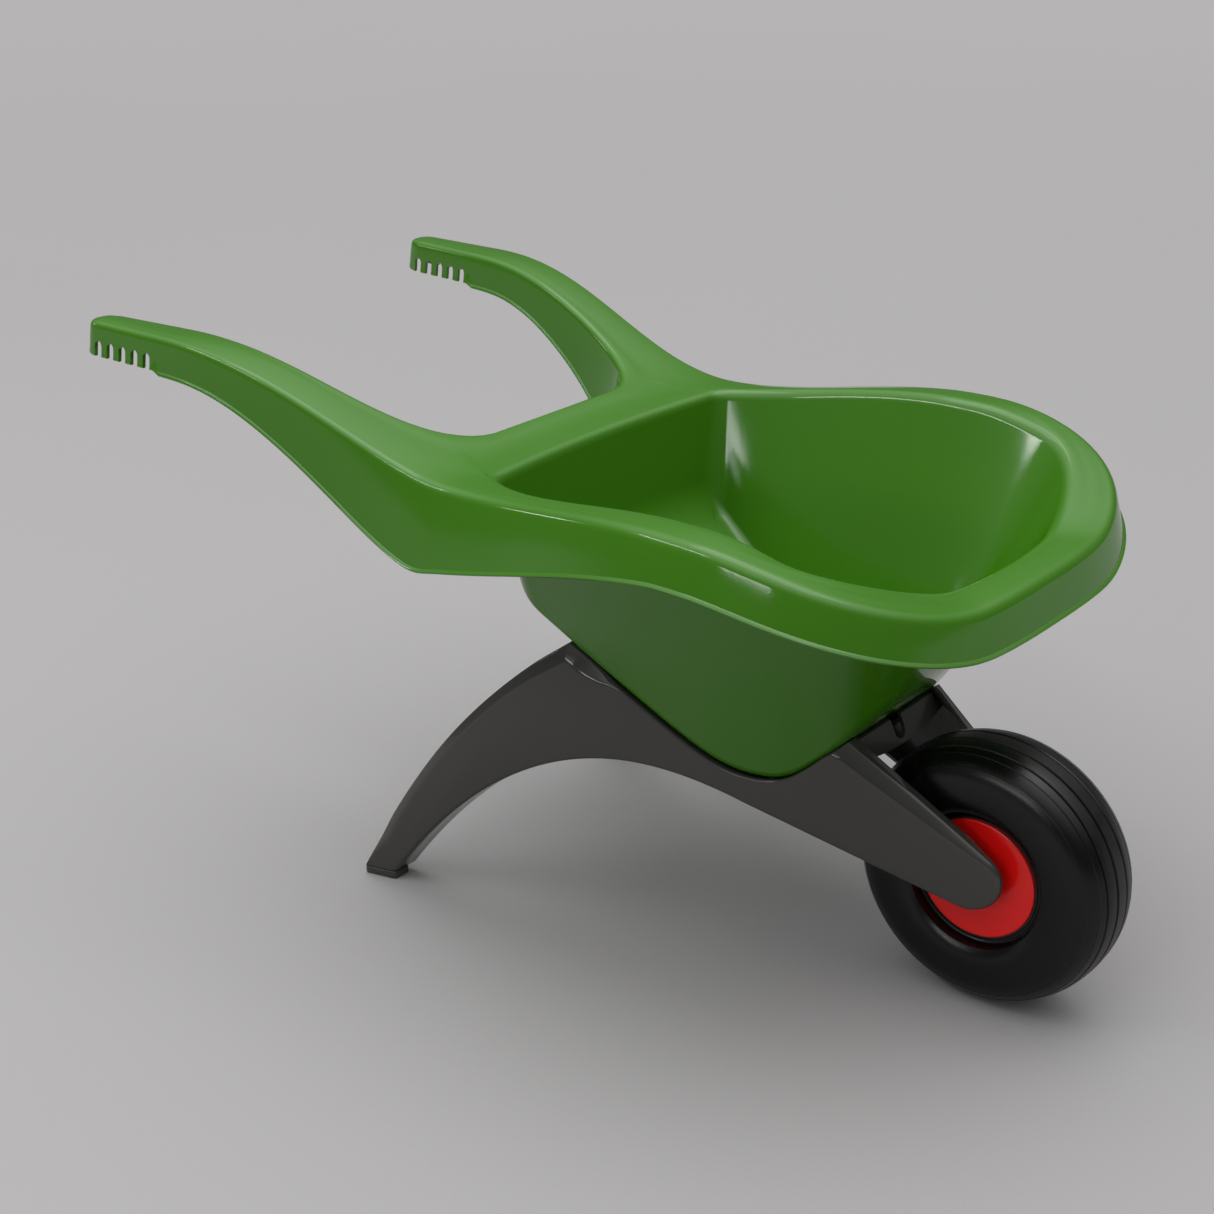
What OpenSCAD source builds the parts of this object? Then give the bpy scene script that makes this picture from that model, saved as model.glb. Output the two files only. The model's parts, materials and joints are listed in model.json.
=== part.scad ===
// Child's wheelbarrow: a moulded tray with two handles, carried by two side frames and one wheel.
// X points forward to the wheel, Y to the left-hand side and Z up.
// Every piece is drawn about the wheel axle (x = 0 at the axle) and then moved by axle_x,
// so that the origin lies on the ground under the middle of the whole wheelbarrow.

/* [Tray outline] */
// Distance from the axle back to the ends of the handles
handle_reach = 680; // [660:1:700]
// Distance from the axle back to the rear edge of the rim
rear_edge = 383; // [378:1:388]
// Distance from the axle forward to the nose of the rim
nose_reach = 29; // [22:1:34]
// Half of the width over the two grips
grip_half = 185; // [176:1:194]
// Half of the width over the rim at its widest
rim_half = 193; // [186:1:198]
// Half of the width at the waist, where the handles meet the rim
waist_half = 165; // [161:1:170]
// Width of one grip
grip_w = 25; // [22:0.5:28]

/* [Tray heights] */
// Height of the top of the grips
grip_h = 397; // [385:1:410]
// Height of the rim at the waist
waist_h = 333; // [328:1:338]
// Height of the rim at its crest
crest_h = 353.5; // [348:0.5:360]
// Height of the rim at the nose
nose_h = 308; // [304:0.5:312]
// Depth of the skirt under the crest of the rim
skirt_crest = 31; // [26:0.5:34]
// Depth of the skirt under the waist
skirt_waist = 62; // [56:0.5:68]
// Depth of the handle channel at the grip
skirt_grip = 28; // [26:0.5:32]
// Wall of the tray moulding
tray_wall = 3; // [2.4:0.1:3.4]
// Size of the rounding along the rim's outer edge
rim_round = 7; // [5:0.5:8]
// Size of the rounding round the opening
lip_round = 6; // [4:0.5:7]

/* [Tub] */
// Height of the tub's floor at its lowest place, inside
floor_h = 139; // [136:0.5:145]
// Slope of the tub's floor towards the rear, rise over run
floor_slope = 0.718; // [0.68:0.01:0.76]
// Half of the opening's width at its widest
opening_half = 163; // [158:0.5:166]
// Half of the opening's width at its rear corners
opening_rear_half = 129; // [124:0.5:134]
// Distance from the axle back to the rear edge of the opening
opening_rear = 326; // [322:0.5:330]
// Slope of the tub's floor towards the front, rise over run
front_slope = 1.14; // [1.08:0.01:1.2]
// Size of the rounding between the tub's rear wall and its floor
fold_round = 20; // [14:0.5:24]
// Size of the rounding between the tub's side walls and its floor
side_fold = 8; // [6:0.5:10]
// Gap between the tub's sides and the frames' inner faces
side_gap = 0.8; // [0.5:0.1:1.2]

/* [Grip slots] */
// Number of slots through the walls of each grip
slot_count = 5; // [3:1:7]
// Width of one slot
slot_w = 7.6; // [5:0.1:9]
// Distance between two slots
slot_pitch = 13.5; // [12:0.1:14]
// Depth of the slots' round tops under the top of the grip
slot_top = 16; // [12:0.5:18]

/* [Side frames] */
// Half of the distance between the frames' outer faces at the axle
fork_half = 45; // [44:0.5:48]
// Angle by which each frame turns outwards towards its foot
splay = 13.97; // [13:0.1:15]
// Wall of the frame mouldings
frame_wall = 3.2; // [2.8:0.1:3.6]
// Distance from the axle back to the heel of the foot
heel_reach = 444; // [436:1:452]
// Height of the arch between the foot and the fork
arch_h = 138; // [132:0.5:142]
// Radius of the fork's round end
fork_end_r = 21; // [18:0.5:23]
// Half of the gap between the fork's inner edges
fork_gap_half = 35; // [34.5:0.1:37]
// Half of the distance between the inner edges of the feet
foot_gap_half = 124; // [121:0.5:127]
// Height of the foot caps
cap_h = 6; // [5:0.5:8]
// Gap between the tub and what it rests on
seat_gap = 0.3; // [0.2:0.05:0.4]
// Outer radius of the tie tube between the legs
brace_r = 8; // [6:0.5:9]

/* [Wheel] */
// Radius of the tyre
tyre_r = 93.5; // [90:0.5:96]
// Half of the tyre's width
tyre_half = 32.9; // [31:0.1:33.5]
// Radius of the seat on which the tyre sits
bead_r = 44; // [42:0.5:46]
// Wall of the hollow tyre
tyre_wall = 6; // [4:0.5:8]
// Radius of the red covers
cover_r = 42.6; // [40:0.2:43.2]
// Half of the distance between the covers' outer faces
cover_half = 24.3; // [23:0.1:25]
// Radius of the steel axle
axle_r = 4; // [3:0.1:5]
// Clearance between the axle and the bushes that run on it
run_gap = 0.05; // [0.02:0.01:0.1]
// Number of screws that join the rim halves
rim_screw_count = 4; // [3:1:6]

/* [Hidden] */

green = [0.25, 0.45, 0.13];
charcoal = [0.24, 0.24, 0.23];
black = [0.06, 0.06, 0.06];
red = [0.72, 0.08, 0.06];
steel = [0.7, 0.7, 0.72];
nylon = [0.9, 0.9, 0.86];

bead_out = 1.2;
grip_flare = 0.12;
slots_rise = 2.5;
end_rise = 7;
axle_x = (handle_reach + grip_flare * (skirt_grip - slots_rise - end_rise) + bead_out - tyre_r) / 2;
axle_h = tyre_r;
fit_gap = 0.03;
web_lift = 2;
washer_gap = 0.15;
hub_washer_t = 1.5;
plate_t = 3;
up_into_floor = 1.4;
slot_first = 16;
rim_head_seat = 12;
tyre_mid_r = 66;
boss_r = 5;
pilot_r = 1.5;
screw_r = 1.45;
screw_head_r = 4.2;
screw_head_h = 2;
washer_t = 1;
washer_r = 7.5;

// ---------- curves ----------
function mix(a, b, t) = a + (b - a) * t;
function clamp(t) = min(max(t, 0), 1);
function ease(t) = let(c = clamp(t)) c * c * (3 - 2 * c);
function unit(v) = v / norm(v);
function arc2(a, p, b, t) = (1 - t) * (1 - t) * a + 2 * (1 - t) * t * p + t * t * b;
function arc3(a, p, q, b, t) =
    pow(1 - t, 3) * a + 3 * t * pow(1 - t, 2) * p + 3 * t * t * (1 - t) * q + pow(t, 3) * b;
function oval(cx, a, b, n, t) = [cx + a * pow(cos(t), 2 / n), b * pow(sin(t), 2 / n)];
function flip(v) = [for (i = [len(v) - 1:-1:0]) v[i]];

// Monotone cubic through the stations s = [[x, value], ...], with x rising
function span(s, x, i = 0) = (i >= len(s) - 2 || x <= s[i + 1][0]) ? i : span(s, x, i + 1);
function rise(s, i) = (s[i + 1][1] - s[i][1]) / (s[i + 1][0] - s[i][0]);
function knot_slope(s, i) =
    i == 0 ? rise(s, 0)
    : i == len(s) - 1 ? rise(s, len(s) - 2)
    : rise(s, i - 1) * rise(s, i) <= 0 ? 0
    : 2 * rise(s, i - 1) * rise(s, i) / (rise(s, i - 1) + rise(s, i));
function through(s, x) =
    let(
        i = span(s, x),
        w = s[i + 1][0] - s[i][0],
        t = clamp((x - s[i][0]) / w),
        a = knot_slope(s, i) * w,
        b = knot_slope(s, i + 1) * w)
    (2 * t - 3) * t * t * (s[i][1] - s[i + 1][1]) + s[i][1]
        + ((t - 2) * t + 1) * t * a + (t - 1) * t * t * b;

// ---------- tray, seen from above ----------
rim_wide_x = -120;
waist_front_x = -345;
waist_back_x = -375;
bend_run = 95;
bend_x = bend_run - handle_reach;
grip_end_a = 13;
function outer_w(x) =
    x < waist_front_x ? mix(waist_half, grip_half, ease((waist_back_x - x) / (waist_back_x - bend_x)))
    : mix(waist_half, rim_half, ease((x - waist_front_x) / (rim_wide_x - waist_front_x)));

// Height of the tray's top: falls from the grips to the waist, rises to the crest, dips to the nose
grip_run = 80;
grip_front_x = grip_run - handle_reach;
waist_x = -340;
function side_top(x) =
    x < waist_x ? mix(grip_h, waist_h, ease(pow(clamp((x - grip_front_x) / (waist_x - grip_front_x)), 1.2)))
    : mix(waist_h, crest_h, ease((x - waist_x) / 200));
function top_h(p) =
    p[0] < rim_wide_x ? side_top(p[0])
    : mix(nose_h, crest_h, ease((atan2(abs(p[1]), p[0] - rim_wide_x) - 22) / 66));

// Depth and flare of the skirt: shallower along the finger slots, rounded up at the end of each grip
slots_front_x = slot_first + slot_pitch * (slot_count - 0.5) - handle_reach;
end_run = 9;
function grip_rise(x) =
    slots_rise * (1 - ease((x - slots_front_x) / slot_w))
    + end_rise * (1 - sqrt(1 - pow(clamp((end_run - handle_reach - x) / end_run), 2)));
function skirt_h(p) =
    p[0] < -358 ? mix(skirt_grip, skirt_waist, pow(ease((p[0] + 580) / 215), 1.15)) - grip_rise(p[0])
    : mix(skirt_waist, skirt_crest, pow(clamp((p[0] + 358) / 218), 0.75))
        + (p[0] > rim_wide_x ? 2.5 * ease((p[0] - rim_wide_x) / 120) : 0);
function flare(p) = mix(grip_flare, 0.28, ease((p[0] + 480) / 200));

// Stations along half of the outer edge, from the nose round the handle to the middle of the rear
nose_n = 14;
side_n = 13;
corner_n = 2;
side_grading = 1.25;
spine_n = 15;
cap_n = 3;
rear_n = 4;
straight_x = -560;
opening_wide_x = -85;
function nose_points(cx, a, b, n) = [for (i = [0:nose_n]) oval(cx, a, b, n, 90 * i / nose_n)];
function spine_x(k) = mix(waist_front_x - 10 * corner_n, grip_end_a - handle_reach, pow(k / spine_n, 0.94));
inner_straight = function(x) mix(149.1, grip_half - grip_w, clamp((straight_x - x) / (handle_reach + straight_x)));
crotch_a = [straight_x, 149.1];
crotch_b = [straight_x + 88.5, 137.2];
crotch_c = [4.5 - rear_edge, 118.4];
crotch_d = [-rear_edge, 59.4];
function crotch(t) = arc3(crotch_a, crotch_b, crotch_c, crotch_d, t);
curve_n = len([for (k = [0:spine_n]) if (spine_x(k) > straight_x) k]) - 1;
crotch_t = 0.74;
inner_handle = [for (k = [spine_n - 1:-1:0])
    k > curve_n ? [spine_x(k), inner_straight(spine_x(k))] : crotch(crotch_t * (1 - k / (curve_n + 1)))];
grip_cap = [for (i = [1:2 * cap_n - 1])
    let(t = 90 - 90 * i / cap_n)
    [grip_end_a - handle_reach - grip_end_a * pow(abs(cos(t)), 0.85),
        grip_half - grip_w / 2 + sign(t) * grip_w / 2 * pow(abs(sin(t)), 0.85)]];
outer_half = concat(
    nose_points(rim_wide_x, nose_reach - rim_wide_x, rim_half, 2.8),
    [for (i = [1:side_n])
        let(x = mix(rim_wide_x, waist_front_x, pow(i / side_n, side_grading))) [x, outer_w(x)]],
    [for (i = [1:corner_n]) let(x = waist_front_x - 10 * i) [x, outer_w(x)]],
    [for (k = [1:spine_n]) [spine_x(k), outer_w(spine_x(k))]],
    grip_cap,
    [[spine_x(spine_n), inner_straight(spine_x(spine_n))]],
    inner_handle,
    [for (i = [1:corner_n]) crotch(mix(crotch_t, 1, i / corner_n))],
    [for (i = [1:rear_n]) [-rear_edge, crotch_d[1] * (1 - i / rear_n)]]);

// Half of a loop round the tub: nose, side, rounded rear corner and slightly bowed rear
function tub_loop(cx, a, n, rear, width, cut, bow) =
    let(
        side_end = [cut - rear, width(cut - rear)],
        corner = [-rear, width(-rear)],
        rear_end = [-rear - bow * cut / width(-rear) * 2, width(-rear) - cut],
        turn = [for (i = [1:2 * corner_n]) arc2(side_end, corner, rear_end, i / (2 * corner_n))])
    concat(
        nose_points(cx, a, width(cx), n),
        [for (i = [1:side_n]) let(x = mix(cx, cut - rear, pow(i / side_n, side_grading))) [x, width(x)]],
        turn,
        [for (i = [1:rear_n])
            let(y = rear_end[1] * (1 - i / rear_n))
            [rear_end[0] - bow * (1 - pow(y / rear_end[1], 2)), y]]);
opening_w = function(x)
    let(u = (opening_wide_x - x) / (opening_rear + opening_wide_x))
    opening_half - (opening_half - opening_rear_half) * (0.12 * u + 0.88 * pow(u, 4.5));
opening_half_loop = tub_loop(opening_wide_x, -opening_wide_x + nose_reach - 28.5, 2.3, opening_rear, opening_w, 9, 7);
floor_corner_x = -100;
floor_setback = 95;
floor_front_x = nose_reach - floor_setback;
floor_rear = opening_rear - 7;
function web_inner(x) = fork_half - x * tan(splay) - frame_wall / cos(splay);
floor_w = function(x) web_inner(x) - side_gap - tray_wall * 1.05;
floor_half_loop = tub_loop(floor_corner_x, floor_front_x - floor_corner_x, 2.8, floor_rear, floor_w, 22, 3);

// Height of the floor inside: level in the middle, sloping up to the rear and to the front
floor_bends = [[-165, -floor_slope, 25], [-122, front_slope, 16]];
function bend_rise(b, x) = let(u = x - b[0], m = b[1], s = sqrt(u * u + b[2] * b[2])) (m * u + abs(m) * s) / 2;
function bend_tilt(b, x) = let(u = x - b[0], m = b[1], s = sqrt(u * u + b[2] * b[2])) (m + abs(m) * u / s) / 2;
function floor_top(x) = floor_h + bend_rise(floor_bends[0], x) + bend_rise(floor_bends[1], x);
function floor_tilt(x) = bend_tilt(floor_bends[0], x) + bend_tilt(floor_bends[1], x);
function floor_under(x) = floor_top(x) - tray_wall * sqrt(1 + pow(floor_tilt(x), 2));

// ---------- tray mesh ----------
corner_at = nose_n + side_n + corner_n;
half_n = len(outer_half);
loop_n = 2 * half_n - 2;
function whole(half) = concat(half, [for (i = [len(half) - 2:-1:1]) [half[i][0], -half[i][1]]]);
outer = whole(outer_half);
function outward(loop, i) =
    let(
        n = len(loop),
        d = loop[(i + 1) % n] - loop[(i + n - 1) % n])
    unit([d[1], -d[0]]);
outer_normal = [for (i = [0:loop_n - 1]) outward(outer, i)];

// The crest line of each handle continues the opening's loop out to the grip and back
function spine_y(x) =
    let(
        from = opening_half_loop[corner_at],
        mid_x = -450,
        mid_y = (outer_w(mid_x) + 126) / 2)
    x > mid_x ? mix(mid_y, from[1], (x - mid_x) / (from[0] - mid_x))
    : mix(mid_y, grip_half - grip_w / 2, ease((mid_x - x) / 160));
spine = [for (k = [1:spine_n])
    let(x = mix(opening_half_loop[corner_at][0], spine_x(spine_n), k / spine_n))
    [x, spine_y(x)]];
opening = whole(opening_half_loop);
opening_n = len(opening);
opening_normal = [for (i = [0:opening_n - 1]) outward(opening, i)];
tub_floor = whole(floor_half_loop);
floor_normal = [for (i = [0:opening_n - 1]) outward(tub_floor, i)];
both_spines = concat(spine, [for (p = spine) [p[0], -p[1]]]);

// Which point of the inner ring (opening loop, then left spine, then right spine) faces each station
function inner_of_half(i) =
    i <= corner_at ? i
    : i <= corner_at + spine_n ? opening_n + i - corner_at - 1
    : i <= corner_at + spine_n + 2 * cap_n ? opening_n + spine_n - 1
    : i < corner_at + 2 * spine_n + 2 * cap_n ? opening_n + 2 * spine_n + 2 * cap_n + corner_at - i - 1
    : i - 2 * spine_n - 2 * cap_n;
function inner_of(i) =
    i < half_n ? inner_of_half(i)
    : let(j = inner_of_half(loop_n - i)) j < opening_n ? (opening_n - j) % opening_n : j + spine_n;
inner_index = [for (i = [0:loop_n - 1]) inner_of(i)];

function at(p, z) = [p[0], p[1], z];
bead_h = 3;
function round_at(p) = rim_round * mix(0.7, 1, ease((p[0] + 480) / 260));
function edge_ring(f) = [for (i = [0:loop_n - 1])
    let(p = outer[i], n = outer_normal[i], o = f(top_h(p), skirt_h(p), flare(p), round_at(p)))
    at(p + n * o[0], o[1])];
function rim_round_point(z, k, r, t) = arc2([-r, z], [0, z], [0, z] + unit([k, -1]) * r, t);
rings = [
    edge_ring(function(z, h, k, r) rim_round_point(z, k, r, 0)),
    edge_ring(function(z, h, k, r) rim_round_point(z, k, r, 0.36)),
    edge_ring(function(z, h, k, r) rim_round_point(z, k, r, 0.68)),
    edge_ring(function(z, h, k, r) rim_round_point(z, k, r, 1)),
    edge_ring(function(z, h, k, r) [k * (h - bead_h), z - h + bead_h]),
    edge_ring(function(z, h, k, r) [k * h + bead_out, z - h + bead_h]),
    edge_ring(function(z, h, k, r) [k * h + bead_out, z - h]),
    edge_ring(function(z, h, k, r) [k * h - tray_wall, z - h]),
    edge_ring(function(z, h, k, r) [k * r - tray_wall, z - r]),
    edge_ring(function(z, h, k, r) [-r, z - tray_wall])];

function to_floor(i) =
    let(
        a = at(opening[i], top_h(opening[i])),
        f = at(tub_floor[i], floor_top(tub_floor[i][0])))
    unit(f - a);
function lip(i, t) =
    let(a = at(opening[i], top_h(opening[i])))
    arc2(at(opening[i] + opening_normal[i] * lip_round, top_h(opening[i])), a, a + to_floor(i) * lip_round, t);
function fold(i, t, out, height) =
    let(
        r = mix(fold_round, side_fold, pow(floor_normal[i][1], 2)) + out / 2,
        a = tub_floor[i] + floor_normal[i] * out,
        f = at(a, height(a[0])),
        b = a - floor_normal[i] * r)
    arc2(f - to_floor(i) * r, f, at(b, height(b[0])), t);
fold_n = 4;
tub_inner = concat(
    [for (t = [1:3]) [for (i = [0:opening_n - 1]) lip(i, t / 3)]],
    [for (t = [0:fold_n])
        [for (i = [0:opening_n - 1]) fold(i, t / fold_n, 0, function(x) floor_top(x))]]);
tub_outer = [for (t = [0:fold_n]) [for (i = [0:opening_n - 1])
    fold(i, t / fold_n, tray_wall * 1.05, function(x) floor_under(x))]];
top_inner = concat(
    [for (i = [0:opening_n - 1]) lip(i, 0)],
    [for (p = both_spines) at(p, top_h(p))]);
under_inner = concat(
    [for (i = [0:opening_n - 1])
        at(opening[i] + opening_normal[i] * tray_wall * 1.05, top_h(opening[i]) - tray_wall)],
    [for (p = both_spines) at(p, top_h(p) - tray_wall)]);

inner_count = len(top_inner);
ring_count = len(rings);
function top_id(i) = i;
function ring_id(r, i) = inner_count + r * loop_n + i;
function under_id(i) = inner_count + ring_count * loop_n + i;
function tub_id(r, i) = 2 * inner_count + ring_count * loop_n + r * opening_n + i;
function quad(a, b, c, d) = [if (a != b && b != c && a != c) [a, b, c], if (a != d && c != d && a != c) [a, c, d]];
function strip(n, a, b) = [for (i = [0:n - 1]) let(j = (i + 1) % n) each quad(a(i), a(j), b(j), b(i))];
function across(r, n, way) = [for (i = [0:n / 2 - 1])
    let(a = tub_id(r, i), b = tub_id(r, i + 1), c = tub_id(r, (n - i - 1) % n), d = tub_id(r, (n - i) % n))
    each way ? quad(a, b, c, d) : quad(d, c, b, a)];
inner_rings = len(tub_inner);
outer_rings = len(tub_outer);
tray_faces = concat(
    strip(loop_n, function(i) top_id(inner_index[i]), function(i) ring_id(0, i)),
    [for (r = [0:ring_count - 2]) each strip(loop_n, function(i) ring_id(r, i), function(i) ring_id(r + 1, i))],
    strip(loop_n, function(i) ring_id(ring_count - 1, i), function(i) under_id(inner_index[i])),
    strip(opening_n, function(i) tub_id(0, i), function(i) top_id(i)),
    [for (r = [0:inner_rings - 2]) each strip(opening_n, function(i) tub_id(r + 1, i), function(i) tub_id(r, i))],
    across(inner_rings - 1, opening_n, false),
    strip(opening_n, function(i) under_id(i), function(i) tub_id(inner_rings, i)),
    [for (r = [inner_rings:inner_rings + outer_rings - 2])
        each strip(opening_n, function(i) tub_id(r, i), function(i) tub_id(r + 1, i))],
    across(inner_rings + outer_rings - 1, opening_n, true));
tray_points = concat(top_inner, [for (r = rings) each r], under_inner,
    [for (r = tub_inner) each r], [for (r = tub_outer) each r]);

module tray_shell() {
    polyhedron(points = tray_points, faces = tray_faces, convexity = 10);
}

// ---------- fixings under the tub ----------
// Each screw goes up through the frame's flange into a shouldered boss under the tub's floor.
// The front pair also goes through the bridge's plate.
saddle_screw_x = -243;
front_screw_x = -137;
screw_inset = 13;
boss_gap = 0.2;
boss_up = 1;
saddle_boss = seat_gap + frame_wall;
front_boss = saddle_boss + seat_gap + plate_t;
function screw_y(x) = web_inner(x) - screw_inset;
module mirrored() {
    children();
    mirror([0, 1, 0]) children();
}
module at_screw(x) {
    translate([x, screw_y(x), floor_under(x)])
    rotate([0, atan(-floor_tilt(x)), 0])
    children();
}
module tray_boss(down) {
    translate([0, 0, -down]) cylinder(r = boss_r, h = down + boss_up, $fn = 24);
}
module pilot(down) {
    translate([0, 0, -down - 1]) cylinder(r = pilot_r, h = 1 + down + up_into_floor, $fn = 24);
}
module boss_hole() {
    translate([0, 0, -20]) cylinder(r = boss_r + boss_gap, h = 30, $fn = 32);
}

module grip_slot(i) {
    x = slot_first + slot_pitch * i - handle_reach;
    z = grip_h - slot_top - slot_w / 2;
    reach = grip_w + 2 * (flare([x, 0]) * skirt_grip + bead_out);
    hull() {
        translate([x, (grip_half - grip_w / 2) + reach / 2, z])
        rotate([90, 0, 0]) cylinder(d = slot_w, h = reach, $fn = 20);
        translate([x, grip_half - grip_w / 2, grip_h - skirt_grip - 5])
        cube([slot_w, reach, 2], center = true);
    }
}

module tray() {
    color(green)
    translate([axle_x, 0, 0])
    difference() {
        union() {
            tray_shell();
            mirrored() {
                at_screw(saddle_screw_x) tray_boss(saddle_boss);
                at_screw(front_screw_x) tray_boss(front_boss);
            }
        }
        mirrored() {
            at_screw(saddle_screw_x) pilot(saddle_boss);
            at_screw(front_screw_x) pilot(front_boss);
            for (i = [0:slot_count - 1]) grip_slot(i);
        }
    }
}

// ---------- side frames ----------
// The mouldings are drawn from the mould along Y, so the X-Z outline is extruded along Y
// and cut to the outward-turned plane of the web
saddle_gap_half = 85.3;
saddle_front_x = -82;
saddle_rear_x = -279;
saddle_n = 26;
fork_c = [4, axle_h + 7.5];
fork_low = -107.7;
fork_high = 54;
fork_n = 9;
arm_low = [-150, 124.5];
toe_x = 26.5 - heel_reach;
function rest_h(x) = floor_under(x) - seat_gap;
function saddle_x(i) = mix(saddle_front_x, saddle_rear_x, pow(i / saddle_n, side_grading));
leg_back = [[1 - heel_reach, cap_h], [28 - heel_reach, 55], [81 - heel_reach, 132], [138 - heel_reach, 191],
    [saddle_rear_x, rest_h(saddle_rear_x)]];
leg_n = 9;
arch_n = 9;
flange_loop = concat(
    [for (i = [0:saddle_n]) let(x = saddle_x(i)) [x, rest_h(x)]],
    [for (i = [1:leg_n]) let(x = mix(saddle_rear_x, leg_back[0][0], i / leg_n)) [x, through(leg_back, x)]],
    [for (i = [0:arch_n]) arc2([toe_x, cap_h], [114 - heel_reach, arch_h], [219 - heel_reach, arch_h], i / arch_n)],
    [for (i = [1:4]) arc2([219 - heel_reach, arch_h], [254 - heel_reach, arch_h], arm_low, i / 4)],
    [for (i = [0:fork_n])
        let(t = mix(fork_low, fork_high, i / fork_n)) fork_c + fork_end_r * [cos(t), sin(t)]]);
// The same loop moved inwards by d
function inset(loop, d) = [for (i = [0:len(loop) - 1])
    let(
        n = len(loop),
        a = unit(loop[i] - loop[(i + n - 1) % n]),
        b = unit(loop[(i + 1) % n] - loop[i]),
        na = [-a[1], a[0]],
        nb = [-b[1], b[0]],
        m = unit(na + nb))
    loop[i] + m * d / max(0.5, m * na)];
// The web rises past the flange beside the tub
web_lip = concat([for (i = [0:saddle_n]) let(x = saddle_x(i)) [x, rest_h(x) + web_lift]],
    [for (i = [saddle_n:-1:0]) let(x = saddle_x(i)) [x, rest_h(x) - frame_wall / 2]]);
function web_y(x, d) = fork_half - x * tan(splay) - d / cos(splay);
// Everything between the planes at depths a and b inside the web's outer face
room_out = 60;
module splayed(a, b) {
    back = -heel_reach - room_out;
    translate([0, 0, -1])
    linear_extrude(2 * waist_h)
    polygon([[room_out, web_y(room_out, a)], [back, web_y(back, a)],
        [back, web_y(back, b)], [room_out, web_y(room_out, b)]]);
}
// Everything between the web's outer face and the inner edges, which run from the fork to the feet
module channel_room() {
    back = -heel_reach - room_out;
    translate([0, 0, -1])
    linear_extrude(2 * waist_h)
    polygon([[room_out, web_y(room_out, 0)], [back, web_y(back, 0)], [back, foot_gap_half],
        [-heel_reach, foot_gap_half], [saddle_rear_x, saddle_gap_half], [0, fork_gap_half], [room_out, fork_gap_half]]);
}
module along_y() {
    rotate([90, 0, 0])
    linear_extrude(2 * rim_half, center = true)
    children();
}
axle_boss_r = 10;
axle_boss_in = cover_half + washer_gap * 2 + hub_washer_t;
axle_end = fork_half - frame_wall - 3;
brace_at = [-300, 168];
brace_end = web_inner(brace_at[0] + brace_r) - seat_gap;
socket_wall = 2.5;
socket_deep = 9;
module side_frame() {
    color(charcoal)
    translate([axle_x, 0, 0])
    difference() {
        union() {
            difference() {
                intersection() {
                    along_y() polygon(flange_loop);
                    channel_room();
                }
                intersection() {
                    along_y() polygon(inset(flange_loop, frame_wall));
                    splayed(frame_wall, 3 * fork_half);
                }
            }
            intersection() {
                along_y() polygon(web_lip);
                splayed(0, frame_wall);
            }
            translate([0, axle_boss_in, axle_h])
            rotate([-90, 0, 0]) cylinder(r = axle_boss_r, h = fork_half - 2 - axle_boss_in, $fn = 48);
            translate([brace_at[0], brace_end - socket_deep, brace_at[1]])
            rotate([-90, 0, 0]) cylinder(r = brace_r + socket_wall, h = socket_deep + 3, $fn = 48);
        }
        translate([0, axle_boss_in - 1, axle_h])
        rotate([-90, 0, 0]) cylinder(r = axle_r + fit_gap, h = axle_end + fit_gap + 1 - axle_boss_in, $fn = 48);
        translate([brace_at[0], brace_end - socket_deep - 1, brace_at[1]])
        rotate([-90, 0, 0]) cylinder(r = brace_r + fit_gap, h = socket_deep + 1 + fit_gap, $fn = 48);
        at_screw(saddle_screw_x) boss_hole();
        at_screw(front_screw_x) boss_hole();
        foot_peg(peg_gap, 0);
    }
}
module left_side_frame() {
    side_frame();
}
module right_side_frame() {
    mirror([0, 1, 0]) side_frame();
}

// ---------- foot caps ----------
cap_lip = 1.5;
cap_edge = 5;
peg_r = 3;
peg_gap = 0.1;
peg_h = 6;
foot_mid_x = (toe_x - heel_reach) / 2;
module foot_peg(gap, top) {
    translate([foot_mid_x, (web_inner(foot_mid_x) + foot_gap_half) / 2, cap_edge - 1])
    cylinder(r = peg_r + gap, h = cap_h + frame_wall + peg_h - top, $fn = 32);
}
module foot_cap() {
    color(black)
    translate([axle_x, 0, 0]) {
        intersection() {
            along_y()
            polygon([[-heel_reach - cap_lip, cap_h - fit_gap], [-heel_reach - cap_lip, cap_h - 2], [cap_edge - heel_reach, 0],
                [toe_x - cap_edge, 0], [toe_x + cap_lip, cap_h - 2], [toe_x + cap_lip, cap_h - fit_gap]]);
            splayed(-cap_lip, (web_y(-heel_reach, 0) - foot_gap_half) * cos(splay));
        }
        foot_peg(0, 2);
    }
}
module left_foot_cap() {
    foot_cap();
}
module right_foot_cap() {
    mirror([0, 1, 0]) foot_cap();
}

// ---------- bridge under the front of the tub ----------
// A plate that follows the tub's underside beneath the frames' flanges, ending in a web over the tyre
bridge_back = 13;
bridge_fit = 0.2;
crown_t = 2.8;
crown_low = 162;
crown_side = 170;
crown_lean = 0.45;
crown_notch = [6.5, 8];
crown_n = 12;
function plate_h(x, d) = rest_h(x) - d * sqrt(1 + pow(floor_tilt(x), 2));
bridge_top = [for (i = [0:bridge_back]) [saddle_x(i), plate_h(saddle_x(i), frame_wall + seat_gap)]];
bridge_low = [for (i = [bridge_back:-1:0]) [saddle_x(i), plate_h(saddle_x(i), frame_wall + seat_gap + plate_t)]];
crown_x = saddle_front_x;
crown_joint = plate_h(crown_x - crown_t, frame_wall + seat_gap);
crown_top = plate_h(crown_x - crown_t, seat_gap);
crown_top_half = mix(fork_gap_half, saddle_gap_half, crown_x / saddle_rear_x) - 1;
function bridge_half(x) = web_inner(x) - bridge_fit;
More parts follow.
